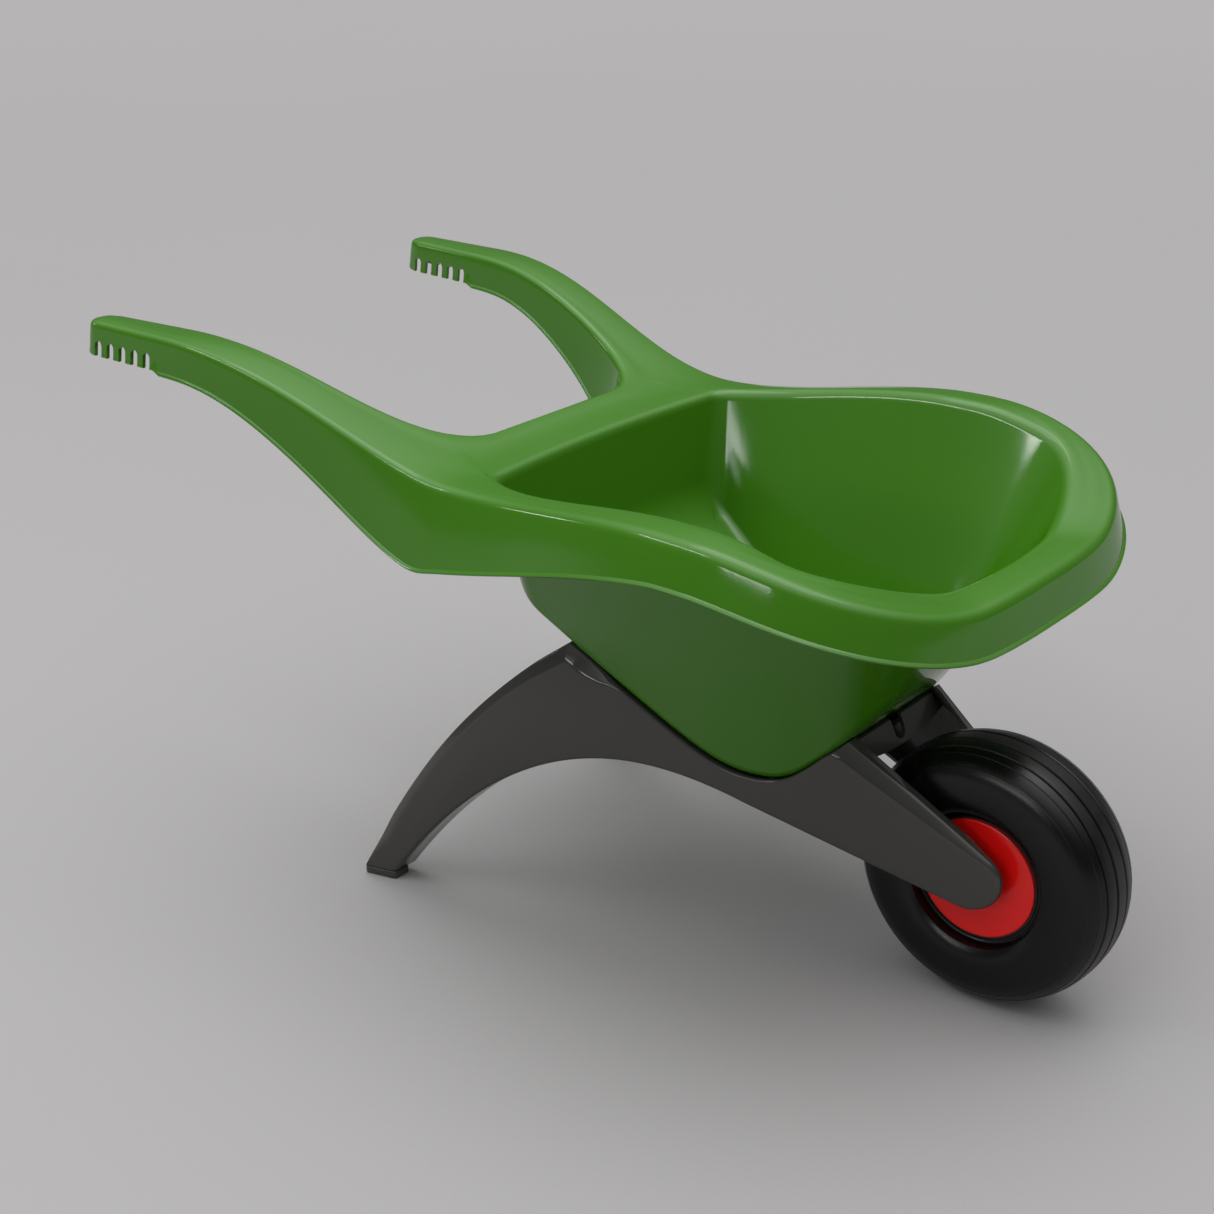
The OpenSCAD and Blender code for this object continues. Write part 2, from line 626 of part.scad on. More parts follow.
module bridge_plan() {
    linear_extrude(2 * waist_h)
    polygon([[saddle_rear_x, -bridge_half(saddle_rear_x)], [0, -bridge_half(0)],
        [0, bridge_half(0)], [saddle_rear_x, bridge_half(saddle_rear_x)]]);
}
module crown() {
    half = bridge_half(crown_x) + 1;
    translate([crown_x - crown_t, 0, crown_top])
    multmatrix([[1, 0, -crown_lean, 0], [0, 1, 0, 0], [0, 0, 1, 0], [0, 0, 0, 1]])
    translate([0, 0, -crown_top])
    rotate([90, 0, 90])
    linear_extrude(crown_t)
    polygon(concat(
        [[-crown_notch[0], crown_top], [-crown_top_half, crown_top], [-crown_top_half, crown_joint],
            [-half, crown_joint]],
        [for (i = [0:crown_n])
            let(y = mix(-half, half, i / crown_n)) [y, mix(crown_side, crown_low, 1 - pow(y / half, 2))]],
        [[half, crown_joint], [crown_top_half, crown_joint], [crown_top_half, crown_top],
            [crown_notch[0], crown_top]],
        [for (i = [1:7]) let(t = -180 * i / 8)
            [crown_notch[0] * cos(t), crown_top - crown_notch[1] + crown_notch[0] * sin(t)]]));
}
module front_bridge() {
    color(charcoal)
    translate([axle_x, 0, 0])
    difference() {
        intersection() {
            union() {
                along_y() polygon(concat(bridge_top, bridge_low));
                crown();
            }
            bridge_plan();
        }
        translate([crown_x, 0, crown_top])
        cube([30, 2 * crown_notch[0], 2 * crown_notch[1]], center = true);
        mirrored() at_screw(front_screw_x) boss_hole();
    }
}

// ---------- tie tube between the legs ----------
brace_wall = 2;
module rear_brace() {
    color(charcoal)
    translate([axle_x + brace_at[0], 0, brace_at[1]])
    rotate([90, 0, 0])
    difference() {
        cylinder(r = brace_r, h = 2 * brace_end, center = true, $fn = 48);
        cylinder(r = brace_r - brace_wall, h = 2 * brace_end + 2, center = true, $fn = 48);
    }
}

// ---------- screws ----------
module screw(long) {
    cylinder(r = screw_r, h = long, $fn = 24);
    translate([0, 0, -screw_head_h]) cylinder(r = screw_head_r, h = screw_head_h, $fn = 24);
}
module at_tray_screws() {
    translate([axle_x, 0, 0])
    mirrored() {
        at_screw(saddle_screw_x) translate([0, 0, -saddle_boss - washer_t]) children(0);
        at_screw(front_screw_x) translate([0, 0, -front_boss - washer_t]) children(1);
    }
}
module tray_screws() {
    color(steel) at_tray_screws() {
        screw(saddle_boss + washer_t + up_into_floor - seat_gap);
        screw(front_boss + washer_t + up_into_floor - seat_gap);
    }
}
module screw_washer() {
    difference() {
        cylinder(r = washer_r, h = washer_t, $fn = 32);
        translate([0, 0, -1]) cylinder(r = screw_r + 0.1, h = washer_t + 2, $fn = 24);
    }
}
module screw_washers() {
    color(steel) at_tray_screws() {
        screw_washer();
        screw_washer();
    }
}

// ---------- wheel ----------
module about_axle() {
    translate([axle_x, 0, axle_h])
    rotate([-90, 0, 0])
    children();
}
module axle() {
    color(steel) about_axle()
    cylinder(r = axle_r, h = 2 * axle_end, center = true, $fn = 48);
}
module ring(r, bore, from, to) {
    rotate_extrude($fn = 96)
    polygon([[bore, from], [r, from], [r, to], [bore, to]]);
}
module left_washer() {
    color(nylon) about_axle() ring(axle_boss_r - 1, axle_r + 0.1, cover_half + washer_gap, cover_half + washer_gap + hub_washer_t);
}
module right_washer() {
    mirror([0, 1, 0]) left_washer();
}
// Tyre section: a rounded square with four grooves round the tread, hollow inside
tread_n = 2.56;
groove_d = 1.4;
groove_w = 1.5;
groove_y = [6, 17];
side_n_tyre = 12;
function tyre_point(t, d) = [tyre_mid_r + (tyre_r - tyre_mid_r - d) * pow(abs(sin(t)), 2 / tread_n) * sign(sin(t)),
    (tyre_half - d) * pow(abs(cos(t)), 2 / tread_n) * sign(cos(t))];
bead_y = 22;
tread = [for (i = [-4:side_n_tyre]) tyre_point(90 * i / side_n_tyre, 0)];
function tread_r(y) = tyre_mid_r + (tyre_r - tyre_mid_r) * pow(1 - pow(y / tyre_half, tread_n), 1 / tread_n);
function groove(y) = [for (q = [[1, 0], [0.7, 1], [-0.7, 1], [-1, 0]])
    let(z = y + q[0] * groove_w / 2) [tread_r(z) - q[1] * groove_d, z]];
function between(low, high) = [for (p = tread) if (p[1] > low + groove_w && p[1] < high - groove_w) p];
tyre_outer_half = concat(
    [[bead_r, bead_y], [bead_r + 2, bead_y], [bead_r + 3.5, bead_y + 1.4], [bead_r + 4.5, bead_y + 4]],
    between(groove_y[1], 2 * tyre_half), groove(groove_y[1]),
    between(groove_y[0], groove_y[1]), groove(groove_y[0]),
    between(-groove_w - 0.01, groove_y[0]));
tyre_inner_half = concat([[bead_r, bead_y - tyre_wall]],
    [for (i = [-5:side_n_tyre]) tyre_point(90 * i / side_n_tyre, tyre_wall)]);
module tyre() {
    color(black) about_axle()
    rotate_extrude($fn = 120)
    polygon(concat(
        tyre_outer_half,
        flip([for (p = tyre_outer_half) if (p[1] > 0.01) [p[0], -p[1]]]),
        [for (p = tyre_inner_half) if (p[1] > 0.01) [p[0], -p[1]]],
        flip(tyre_inner_half)));
}
rim_wall = 2.6;
cover_t = 1.8;
cover_seat = cover_half - cover_t - 0.1;
bush_r = 7;
bush_len = 14;
hub_r = 11;
rim_screw_at = 27;
rim_boss_r = 6.5;
module rim_half() {
    about_axle()
    difference() {
        union() {
            rotate_extrude($fn = 96)
            polygon([[bush_r, 0.05], [hub_r, 0.05], [hub_r, cover_seat - rim_wall], [bead_r - 0.1 - rim_wall, cover_seat - rim_wall],
                [bead_r - 0.1 - rim_wall, 0.05], [bead_r - 0.1, 0.05], [bead_r - 0.1, cover_seat], [bush_r, cover_seat]]);
            for (i = [0:rim_screw_count - 1])
                rotate([0, 0, 360 * i / rim_screw_count])
                translate([rim_screw_at, 0, 0.05]) cylinder(r = rim_boss_r, h = cover_seat - rim_wall / 2, $fn = 32);
        }
        for (i = [0:rim_screw_count - 1])
            rotate([0, 0, 360 * i / rim_screw_count])
            translate([rim_screw_at, 0, -1]) cylinder(r = screw_r + 0.05, h = cover_half + 2, $fn = 24);
    }
}
module left_rim_half() {
    color(black)
    difference() {
        rim_half();
        about_axle()
        for (i = [0:rim_screw_count - 1])
            rotate([0, 0, 360 * i / rim_screw_count])
            translate([rim_screw_at, 0, rim_head_seat]) cylinder(r = screw_head_r + 0.3, h = cover_half, $fn = 32);
    }
}
module right_rim_half() {
    color(black) mirror([0, 1, 0]) rim_half();
}
module rim_screws() {
    color(steel) about_axle()
    for (i = [0:rim_screw_count - 1])
        rotate([0, 0, 360 * i / rim_screw_count])
        translate([rim_screw_at, 0, rim_head_seat])
        mirror([0, 0, 1]) screw(rim_head_seat + 14);
}
cover_bevel = 1.6;
module hub_cover() {
    about_axle()
    rotate_extrude($fn = 120)
    polygon([[bush_r + 1, cover_seat + 0.02], [cover_r, cover_seat + 0.02], [cover_r, cover_half - cover_bevel / 2],
        [cover_r - cover_bevel, cover_half], [bush_r + 1, cover_half]]);
}
module left_hub_cover() {
    color(red) hub_cover();
}
module right_hub_cover() {
    color(red) mirror([0, 1, 0]) hub_cover();
}
module hub_bush() {
    color(nylon) about_axle() ring(bush_r - fit_gap, axle_r + run_gap, cover_half - bush_len, cover_half);
}
module left_hub_bush() {
    hub_bush();
}
module right_hub_bush() {
    mirror([0, 1, 0]) hub_bush();
}

tray();
left_side_frame();
right_side_frame();
front_bridge();
rear_brace();
left_foot_cap();
right_foot_cap();
axle();
left_washer();
right_washer();
tyre();
left_rim_half();
right_rim_half();
left_hub_cover();
right_hub_cover();
left_hub_bush();
right_hub_bush();
rim_screws();
tray_screws();
screw_washers();
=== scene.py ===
"""Looks of a child's wheelbarrow: moulded tray, side frames, wheel, finishes, light and camera.

Lengths inside the classes are in millimetres, measured from the wheel's axle: x forward, y to the
left and z up from the ground. Place.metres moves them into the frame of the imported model.
"""

import json
import logging
import math
from dataclasses import dataclass, field
from enum import Enum
from typing import Callable, Iterable, Sequence, Union

import bmesh
import bpy
import numpy as np
from mathutils import Matrix, Vector
from mathutils.geometry import tessellate_polygon

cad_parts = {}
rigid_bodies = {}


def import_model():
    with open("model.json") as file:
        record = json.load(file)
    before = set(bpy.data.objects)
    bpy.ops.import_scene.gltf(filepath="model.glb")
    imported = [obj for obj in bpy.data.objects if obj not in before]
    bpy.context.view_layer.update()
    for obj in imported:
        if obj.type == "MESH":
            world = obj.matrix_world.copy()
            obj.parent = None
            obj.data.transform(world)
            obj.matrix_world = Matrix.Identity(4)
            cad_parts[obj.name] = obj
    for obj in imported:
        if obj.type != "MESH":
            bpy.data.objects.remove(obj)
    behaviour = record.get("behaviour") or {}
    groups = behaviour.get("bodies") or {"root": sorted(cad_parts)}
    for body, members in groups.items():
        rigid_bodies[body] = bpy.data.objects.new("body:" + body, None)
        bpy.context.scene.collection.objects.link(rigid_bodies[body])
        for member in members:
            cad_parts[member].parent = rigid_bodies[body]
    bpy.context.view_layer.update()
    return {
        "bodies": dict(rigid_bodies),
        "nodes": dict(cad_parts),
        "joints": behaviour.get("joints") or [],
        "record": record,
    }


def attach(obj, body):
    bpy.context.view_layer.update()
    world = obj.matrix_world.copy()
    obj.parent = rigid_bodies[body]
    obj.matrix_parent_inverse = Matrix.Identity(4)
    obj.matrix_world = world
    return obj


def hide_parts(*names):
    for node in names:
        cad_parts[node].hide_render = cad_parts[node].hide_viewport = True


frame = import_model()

log = logging.getLogger("wheelbarrow")

Curve = Callable[[float], float]
Value = Union["Wire", float, int, bool, str, Sequence[float]]


class Body(Enum):
    """The rigid bodies that pieces ride on."""

    FRAME = "body"
    WHEEL = "wheel"


class Side(Enum):
    """The side of the object that a mirrored piece belongs to."""

    LEFT = 1
    RIGHT = -1

    def label(self) -> str:
        """Returns the side's name in lower case."""
        return self.name.lower()


# ---------- places and curves ----------
@dataclass(frozen=True)
class Place:
    """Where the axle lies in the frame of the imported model."""

    axle_x: float
    axle_h: float

    @staticmethod
    def from_frame(packed: dict) -> "Place":
        """Reads the axle's place from the wheel's joint.


        Returns:
            The place, in millimetres.
        """
        x, _, z = packed["joints"][0]["pos_m"]
        return Place(x * 1000.0, z * 1000.0)

    def metres(self, points: np.ndarray) -> np.ndarray:
        """Turns points about the axle, in millimetres, into the frame's metres.

        Args:
            points: An array of x, y, z rows.

        Returns:
            The same rows in metres.
        """
        return (np.asarray(points, float) + [self.axle_x, 0.0, 0.0]) / 1000.0


def mix(a: float, b: float, t: float) -> float:
    """Returns the value a share t of the way from a to b."""
    return a + (b - a) * t


def clamp(t: float) -> float:
    """Returns t held between 0 and 1."""
    return min(max(t, 0.0), 1.0)


def ease(t: float) -> float:
    """Returns a smooth step from 0 to 1."""
    c = clamp(t)
    return c * c * (3.0 - 2.0 * c)


def unit(v: np.ndarray) -> np.ndarray:
    """Returns the vector at length 1."""
    return np.asarray(v, float) / max(float(np.linalg.norm(v)), 1e-12)


def arc2(a: Sequence[float], p: Sequence[float], b: Sequence[float], t: float) -> np.ndarray:
    """Returns the point at t on the quadratic curve from a to b that leans to p."""
    a, p, b = np.asarray(a, float), np.asarray(p, float), np.asarray(b, float)
    return (1 - t) ** 2 * a + 2 * (1 - t) * t * p + t * t * b


def arc3(a: Sequence[float], p: Sequence[float], q: Sequence[float], b: Sequence[float],
         t: float) -> np.ndarray:
    """Returns the point at t on the cubic curve from a to b that leans to p and q."""
    a, p, q, b = (np.asarray(v, float) for v in (a, p, q, b))
    return (1 - t) ** 3 * a + 3 * t * (1 - t) ** 2 * p + 3 * t * t * (1 - t) * q + t ** 3 * b


def through(stations: Sequence[Sequence[float]], x: float) -> float:
    """Evaluates a monotone cubic through stations.

    Args:
        stations: Pairs of x and value, with x rising.
        x: Where the curve is read.

    Returns:
        The curve's value at x.
    """
    s = stations
    rise = [(s[i + 1][1] - s[i][1]) / (s[i + 1][0] - s[i][0]) for i in range(len(s) - 1)]

    def slope(i: int) -> float:
        """Returns the curve's slope at a station."""
        if i == 0:
            return rise[0]
        if i == len(s) - 1:
            return rise[-1]
        product = rise[i - 1] * rise[i]
        return 0.0 if product <= 0 else 2 * product / (rise[i - 1] + rise[i])

    i = next((k for k in range(len(s) - 2) if x <= s[k + 1][0]), len(s) - 2)
    w = s[i + 1][0] - s[i][0]
    t = clamp((x - s[i][0]) / w)
    a, b = slope(i) * w, slope(i + 1) * w
    return ((2 * t - 3) * t * t * (s[i][1] - s[i + 1][1]) + s[i][1]
            + ((t - 2) * t + 1) * t * a + (t - 1) * t * t * b)


def outwards(loop: np.ndarray) -> np.ndarray:
    """Finds the outward direction at each point of a closed clockwise plan loop.

    Args:
        loop: Rows of x and y.

    Returns:
        One unit row for each point.
    """
    d = np.roll(loop, -1, 0) - np.roll(loop, 1, 0)
    n = np.stack([d[:, 1], -d[:, 0]], 1)
    return n / np.maximum(np.linalg.norm(n, axis=1, keepdims=True), 1e-9)


# ---------- meshes ----------
@dataclass
class Shell:
    """Points and faces of one skin, put together ring by ring."""

    points: list[np.ndarray] = field(default_factory=list)
    faces: list[tuple[int, ...]] = field(default_factory=list)

    def ring(self, rows: Iterable[Sequence[float]]) -> list[int]:
        """Adds points.

        Args:
            rows: The points, each x, y, z.

        Returns:
            Their numbers.
        """
        start = len(self.points)
        self.points.extend(np.asarray(row, float) for row in rows)
        return list(range(start, len(self.points)))

    def bridge(self, a: Sequence[int], b: Sequence[int]) -> None:
        """Joins two closed rings of the same length with quads.

        Args:
            a: The first ring's point numbers.
            b: The second ring's point numbers.
        """
        for i in range(len(a)):
            j = (i + 1) % len(a)
            corners = [a[i], a[j], b[j], b[i]]
            kept = tuple(c for k, c in enumerate(corners) if c != corners[k - 1])
            if len(set(kept)) > 2:
                self.faces.append(kept)

    def cap(self, ring: Sequence[int], turned: bool = False) -> None:
        """Closes a ring with triangles.

        Args:
            ring: The ring's point numbers.
            turned: True to turn the faces the other way.
        """
        triangles = tessellate_polygon([[Vector(self.points[i]) for i in ring]])
        flat = [tuple(ring[k] for k in t) for t in triangles]
        if not flat:
            return
        loop = np.array([self.points[i] for i in ring])
        around = np.cross(loop, np.roll(loop, -1, 0)).sum(0)
        a, b, c = (self.points[k] for k in flat[0])
        same = float(np.dot(np.cross(b - a, c - a), around)) > 0
        if same == turned:
            flat = [t[::-1] for t in flat]
        self.faces.extend(flat)

    def tube(self, centre: Sequence[float], outer: float, bore: float, low: float, high: float,
             n: int = 48) -> None:
        """Adds a short tube that runs along y.

        Args:
            centre: The axis's x and z.
            outer: The outer radius.
            bore: The inner radius.
            low: The y of the open end.
            high: The y of the far end.
            n: How many faces go round.
        """
        edge = min(0.6, (outer - bore) / 3)
        profile = [(outer, high), (outer, low + edge), (outer - edge, low),
                   (bore + edge, low), (bore, low + edge), (bore, high)]
        rings = [self.ring([(centre[0] + r * math.cos(a), y, centre[1] + r * math.sin(a))
                            for a in (2 * math.pi * k / n for k in range(n))]) for r, y in profile]
        for a, b in zip(rings, rings[1:]):
            self.bridge(b, a)

    def build(self, name: str, place: Place, side: Side = Side.LEFT, sharp: float = 35.0) -> bpy.types.Object:
        """Makes a smooth-shaded object.

        Args:
            name: The object's name.
            place: Where the axle lies in the frame.
            side: RIGHT mirrors the skin about the x-z plane.
            sharp: Edges that turn by more than this many degrees stay sharp.

        Returns:
            The object, linked to the scene.
        """
        rows = np.array(self.points)
        rows[:, 1] *= side.value
        faces = self.faces if side is Side.LEFT else [f[::-1] for f in self.faces]
        mesh = bpy.data.meshes.new(name)
        mesh.from_pydata(place.metres(rows).tolist(), [], faces)
        return finish_mesh(link(bpy.data.objects.new(name, mesh)), sharp)


def link(piece: bpy.types.Object) -> bpy.types.Object:
    """Links an object to the scene and returns it."""
    bpy.context.scene.collection.objects.link(piece)
    return piece


def finish_mesh(piece: bpy.types.Object, sharp: float, outward: bool = True) -> bpy.types.Object:
    """Merges doubles, turns the faces outwards and shades them smooth.

    Args:
        piece: The object whose mesh is finished.
        sharp: Edges that turn by more than this many degrees stay sharp.
        outward: True to have the faces' sides worked out again.

    Returns:
        The same object.
    """
    mesh = piece.data
    bm = bmesh.new()
    bm.from_mesh(mesh)
    bmesh.ops.remove_doubles(bm, verts=bm.verts, dist=1e-6)
    if outward:
        bmesh.ops.recalc_face_normals(bm, faces=bm.faces)
    bm.to_mesh(mesh)
    bm.free()
    mesh.shade_smooth()
    mesh.set_sharp_from_angle(angle=math.radians(sharp))
    return piece


def applied(piece: bpy.types.Object) -> bpy.types.Object:
    """Turns an object's modifiers into its mesh.

    Args:
        piece: An object with modifiers.

    Returns:
        The same object, with a plain mesh and no modifier.
    """
    depsgraph = bpy.context.evaluated_depsgraph_get()
    mesh = bpy.data.meshes.new_from_object(piece.evaluated_get(depsgraph))
    piece.modifiers.clear()
    old, piece.data = piece.data, mesh
    bpy.data.meshes.remove(old)
    return piece


# ---------- node graphs ----------
class Wire:
    """A node's socket, on which Python's operators add Math nodes."""

    def __init__(self, graph: "Graph", socket: bpy.types.NodeSocket) -> None:
        """Keeps the graph and the socket."""
        self.graph = graph
        self.socket = socket

    def math(self, operation: str, *others: Value, clamped: bool = False) -> "Wire":
        """Adds a Math node with this socket first.

        Args:
            operation: The Math node's operation.
            others: The values after the first.
            clamped: True to hold the result between 0 and 1.

        Returns:
            The node's result.
        """
        return self.graph.arithmetic(operation, [self, *others], clamped)

    def __add__(self, other: Value) -> "Wire":
        """Returns self + other."""
        return self.math("ADD", other)

    __radd__ = __add__

    def __mul__(self, other: Value) -> "Wire":
        """Returns self * other."""
        return self.math("MULTIPLY", other)

    __rmul__ = __mul__

    def __sub__(self, other: Value) -> "Wire":
        """Returns self - other."""
        return self.math("SUBTRACT", other)

    def __rsub__(self, other: Value) -> "Wire":
        """Returns other - self."""
        return self.graph.arithmetic("SUBTRACT", [other, self])

    def __truediv__(self, other: Value) -> "Wire":
        """Returns self / other."""
        return self.math("DIVIDE", other)

    def __rtruediv__(self, other: Value) -> "Wire":
        """Returns other / self."""
        return self.graph.arithmetic("DIVIDE", [other, self])

    def __pow__(self, other: Value) -> "Wire":
        """Returns self ** other."""
        return self.math("POWER", other)

    def __mod__(self, other: Value) -> "Wire":
        """Returns self modulo other."""
        return self.math("MODULO", other)

    def __neg__(self) -> "Wire":
        """Returns -self."""
        return self.math("MULTIPLY", -1.0)

    def held(self) -> "Wire":
        """Returns self held between 0 and 1."""
        return self.math("ADD", 0.0, clamped=True)

    def above(self, low: float, high: float) -> "Wire":
        """Returns a smooth mask that rises from 0 at low to 1 at high."""
        node = self.graph.node("ShaderNodeMapRange", {"interpolation_type": "SMOOTHSTEP"},
                               {"Value": self, "From Min": low, "From Max": high})
        return Wire(self.graph, node.outputs["Result"])


class Graph:
    """A shader or geometry node tree that is built from Python."""

    def __init__(self, tree: bpy.types.NodeTree) -> None:
        """Empties the tree and keeps it."""
        self.tree = tree
        tree.nodes.clear()

    def node(self, kind: str, settings: dict[str, object] | None = None,
             inputs: dict[Union[str, int], Value] | None = None) -> bpy.types.Node:
        """Adds any node.

        Args:
            kind: The node's type name.
            settings: Properties that are set first.
            inputs: Values or links, by the socket's name or number.

        Returns:
            The node.
        """
        made = self.tree.nodes.new(kind)
        for key, value in (settings or {}).items():
            setattr(made, key, value)
        for key, value in (inputs or {}).items():
            self.plug(value, made.inputs[key])
        return made

    def wire(self, kind: str, settings: dict[str, object] | None = None,
             inputs: dict[Union[str, int], Value] | None = None, out: Union[str, int] = 0) -> Wire:
        """Adds any node and returns one of its outputs."""
        return Wire(self, self.node(kind, settings, inputs).outputs[out])

    def plug(self, value: Value, socket: bpy.types.NodeSocket) -> None:
        """Links a wire to a socket, or sets the socket's own value."""
        if isinstance(value, Wire):
            self.tree.links.new(value.socket, socket)
        else:
            socket.default_value = value

    def arithmetic(self, operation: str, terms: Sequence[Value], clamped: bool = False) -> Wire:
        """Adds a Math node.

        Args:
            operation: The node's operation.
            terms: Its values in order.
            clamped: True to hold the result between 0 and 1.

        Returns:
            The node's result.
        """
        return self.wire("ShaderNodeMath", {"operation": operation, "use_clamp": clamped},
                         dict(enumerate(terms)))

    def blend(self, share: Value, a: Value, b: Value) -> Wire:
        """Mixes two colours by a share.

        Args:
            share: 0 gives a and 1 gives b.
            a: The first colour.
            b: The second colour.

        Returns:
            The mixed colour.
        """
        made = self.node("ShaderNodeMix", {"data_type": "RGBA", "clamp_factor": True})
        self.plug(share, made.inputs[0])
        self.plug(a, made.inputs[6])
        self.plug(b, made.inputs[7])
        return Wire(self, made.outputs[2])

    def scaled(self, vector: Wire, size: Sequence[float]) -> Wire:
        """Multiplies a vector, axis by axis."""
        return self.wire("ShaderNodeVectorMath", {"operation": "MULTIPLY"}, {0: vector, 1: tuple(size)})

    def noise(self, vector: Wire, scale: float, detail: float = 2.0, rough: float = 0.5) -> Wire:
        """Adds a noise texture.

        Args:
            vector: Where it is read.
            scale: Waves per metre.
            detail: How many finer layers it has.
            rough: How strong those are.

        Returns:
            Its value, from 0 to 1.
        """
        return self.wire("ShaderNodeTexNoise", {},
                         {"Vector": vector, "Scale": scale, "Detail": detail, "Roughness": rough})

    def bump(self, height: Value, strength: float, distance: float, under: Wire | None = None) -> Wire:
        """Adds a Bump node.

        Args:
            height: The height, from 0 to 1.
            strength: How strong it is.
            distance: The height of 1, in metres.
            under: A normal that it adds to.

        Returns:
            The bent normal.
        """
        inputs: dict[Union[str, int], Value] = {"Height": height, "Strength": strength, "Distance": distance}
        if under is not None:
            inputs["Normal"] = under
        return self.wire("ShaderNodeBump", {}, inputs)


def surface(name: str, fixed: dict[str, Value]) -> tuple[bpy.types.Material, Graph, bpy.types.Node, Wire]:
    """Starts a material with one Principled shader.

    Args:
        name: The material's name.
        fixed: Values that are the same all over, set on the shader's own sockets.

    Returns:
        The material, its graph, the shader and the object coordinates.
    """
    material = bpy.data.materials.new(name)
    material.use_nodes = True
    graph = Graph(material.node_tree)
    shader = graph.node("ShaderNodeBsdfPrincipled", {}, fixed)
    graph.node("ShaderNodeOutputMaterial", {}, {"Surface": Wire(graph, shader.outputs[0])})
    place = graph.wire("ShaderNodeTexCoord", out="Object")
    return material, graph, shader, place


# ---------- finishes ----------
@dataclass(frozen=True)
class MouldedPlastic:
    """Injection-moulded plastic: pigment streaks, a mould's grain, rubbed corners and light dust."""

    name: str
    colour: tuple[float, float, float]
    worn: tuple[float, float, float]
    rough: float
    rough_spread: float = 0.08
    grain: float = 900.0
    grain_depth: float = 0.00004
    ripple_depth: float = 0.00012
    rub: float = 0.25
    level: float = 0.5

    def material(self) -> bpy.types.Material:
        """Builds the material and returns it."""
        made, g, shader, place = surface(self.name, {"IOR": 1.49, "Specular IOR Level": self.level})
        streaks = g.noise(g.scaled(place, (1.0, 1.0, 2.6)), 9.0, 3.0, 0.55)
        cloud = g.noise(place, 38.0, 4.0, 0.6)
        fine = g.noise(place, self.grain, 2.0, 0.5)
        scuffs = g.noise(g.scaled(place, (1.0, 14.0, 3.0)), 52.0, 5.0, 0.7)
        shade = (streaks - 0.5) * 0.22 + (cloud - 0.5) * 0.10 + (fine - 0.5) * 0.05
        dark = [c * 0.86 for c in self.colour]
        light = [min(1.0, c * 1.14) for c in self.colour]
        tinted = g.blend((shade + 0.5).held(), (*dark, 1.0), (*light, 1.0))
        corners = g.wire("ShaderNodeNewGeometry", out="Pointiness").above(0.53, 0.64)
        rubbed = (corners * (0.35 + scuffs) * self.rub).held()
        g.plug(g.blend(rubbed, tinted, (*self.worn, 1.0)), shader.inputs["Base Color"])
        marks = scuffs.above(0.58, 0.75)
        rough = (self.rough + (cloud - 0.5) * self.rough_spread + (fine - 0.5) * 0.05
                 + marks * 0.05 + rubbed * 0.12)
        g.plug(rough.held(), shader.inputs["Roughness"])
        ripple = g.bump(streaks * 0.6 + cloud * 0.4, 0.35, self.ripple_depth)
        g.plug(g.bump(fine, 0.4, self.grain_depth, ripple), shader.inputs["Normal"])
        return made


@dataclass(frozen=True)
class MouldedTyre:
    """Blow-moulded black tyre: satin skin with mould rings, a dusty tread and faint flow lines."""

    name: str
    colour: tuple[float, float, float]
    dust: tuple[float, float, float]
    centre: tuple[float, float, float]
    tread_r: float

    def material(self) -> bpy.types.Material:
        """Builds the material and returns it."""
        made, g, shader, place = surface(self.name, {"IOR": 1.5, "Specular IOR Level": 0.34})
        about = g.wire("ShaderNodeVectorMath", {"operation": "SUBTRACT"}, {0: place, 1: self.centre})
        split = g.node("ShaderNodeSeparateXYZ", {}, {0: about})
        x, z = Wire(g, split.outputs[0]), Wire(g, split.outputs[2])
        radius = (x * x + z * z).math("SQRT")
        tread = radius.above(self.tread_r * 0.965, self.tread_r)
        rings = (radius * 5200.0).math("SINE")
        fine = g.noise(place, 1500.0, 3.0, 0.6)
        cloud = g.noise(place, 46.0, 4.0, 0.6)
        dusty = (tread * cloud.above(0.42, 0.72) * 0.35 + cloud.above(0.55, 0.8) * 0.10).held()
        g.plug(g.blend(dusty, (*self.colour, 1.0), (*self.dust, 1.0)), shader.inputs["Base Color"])
        g.plug((0.26 + tread * 0.14 + (cloud - 0.5) * 0.10 + (fine - 0.5) * 0.06).held(),
               shader.inputs["Roughness"])
        lathe = g.bump(rings * 0.5 + 0.5, 0.10, 0.00003)
        g.plug(g.bump(fine, 0.35, 0.00005, lathe), shader.inputs["Normal"])
        return made


@dataclass(frozen=True)
class PlatedSteel:
    """Zinc-plated steel with drawn marks along one way and dull spots."""

    name: str
    colour: tuple[float, float, float] = (0.62, 0.62, 0.64)
    spots: tuple[float, float, float] = (0.42, 0.42, 0.42)

    def material(self) -> bpy.types.Material:
        """Builds the material and returns it."""
        made, g, shader, place = surface(self.name, {"Metallic": 1.0})
        drawn = g.noise(g.scaled(place, (1.0, 0.05, 1.0)), 2400.0, 3.0, 0.6)
        spot = g.noise(place, 300.0, 3.0, 0.6).above(0.52, 0.7)
        g.plug(g.blend(spot * 0.6, (*self.colour, 1.0), (*self.spots, 1.0)), shader.inputs["Base Color"])
        g.plug((0.26 + drawn * 0.12 + spot * 0.16).held(), shader.inputs["Roughness"])
        g.plug(g.bump(drawn, 0.2, 0.00002), shader.inputs["Normal"])
        return made


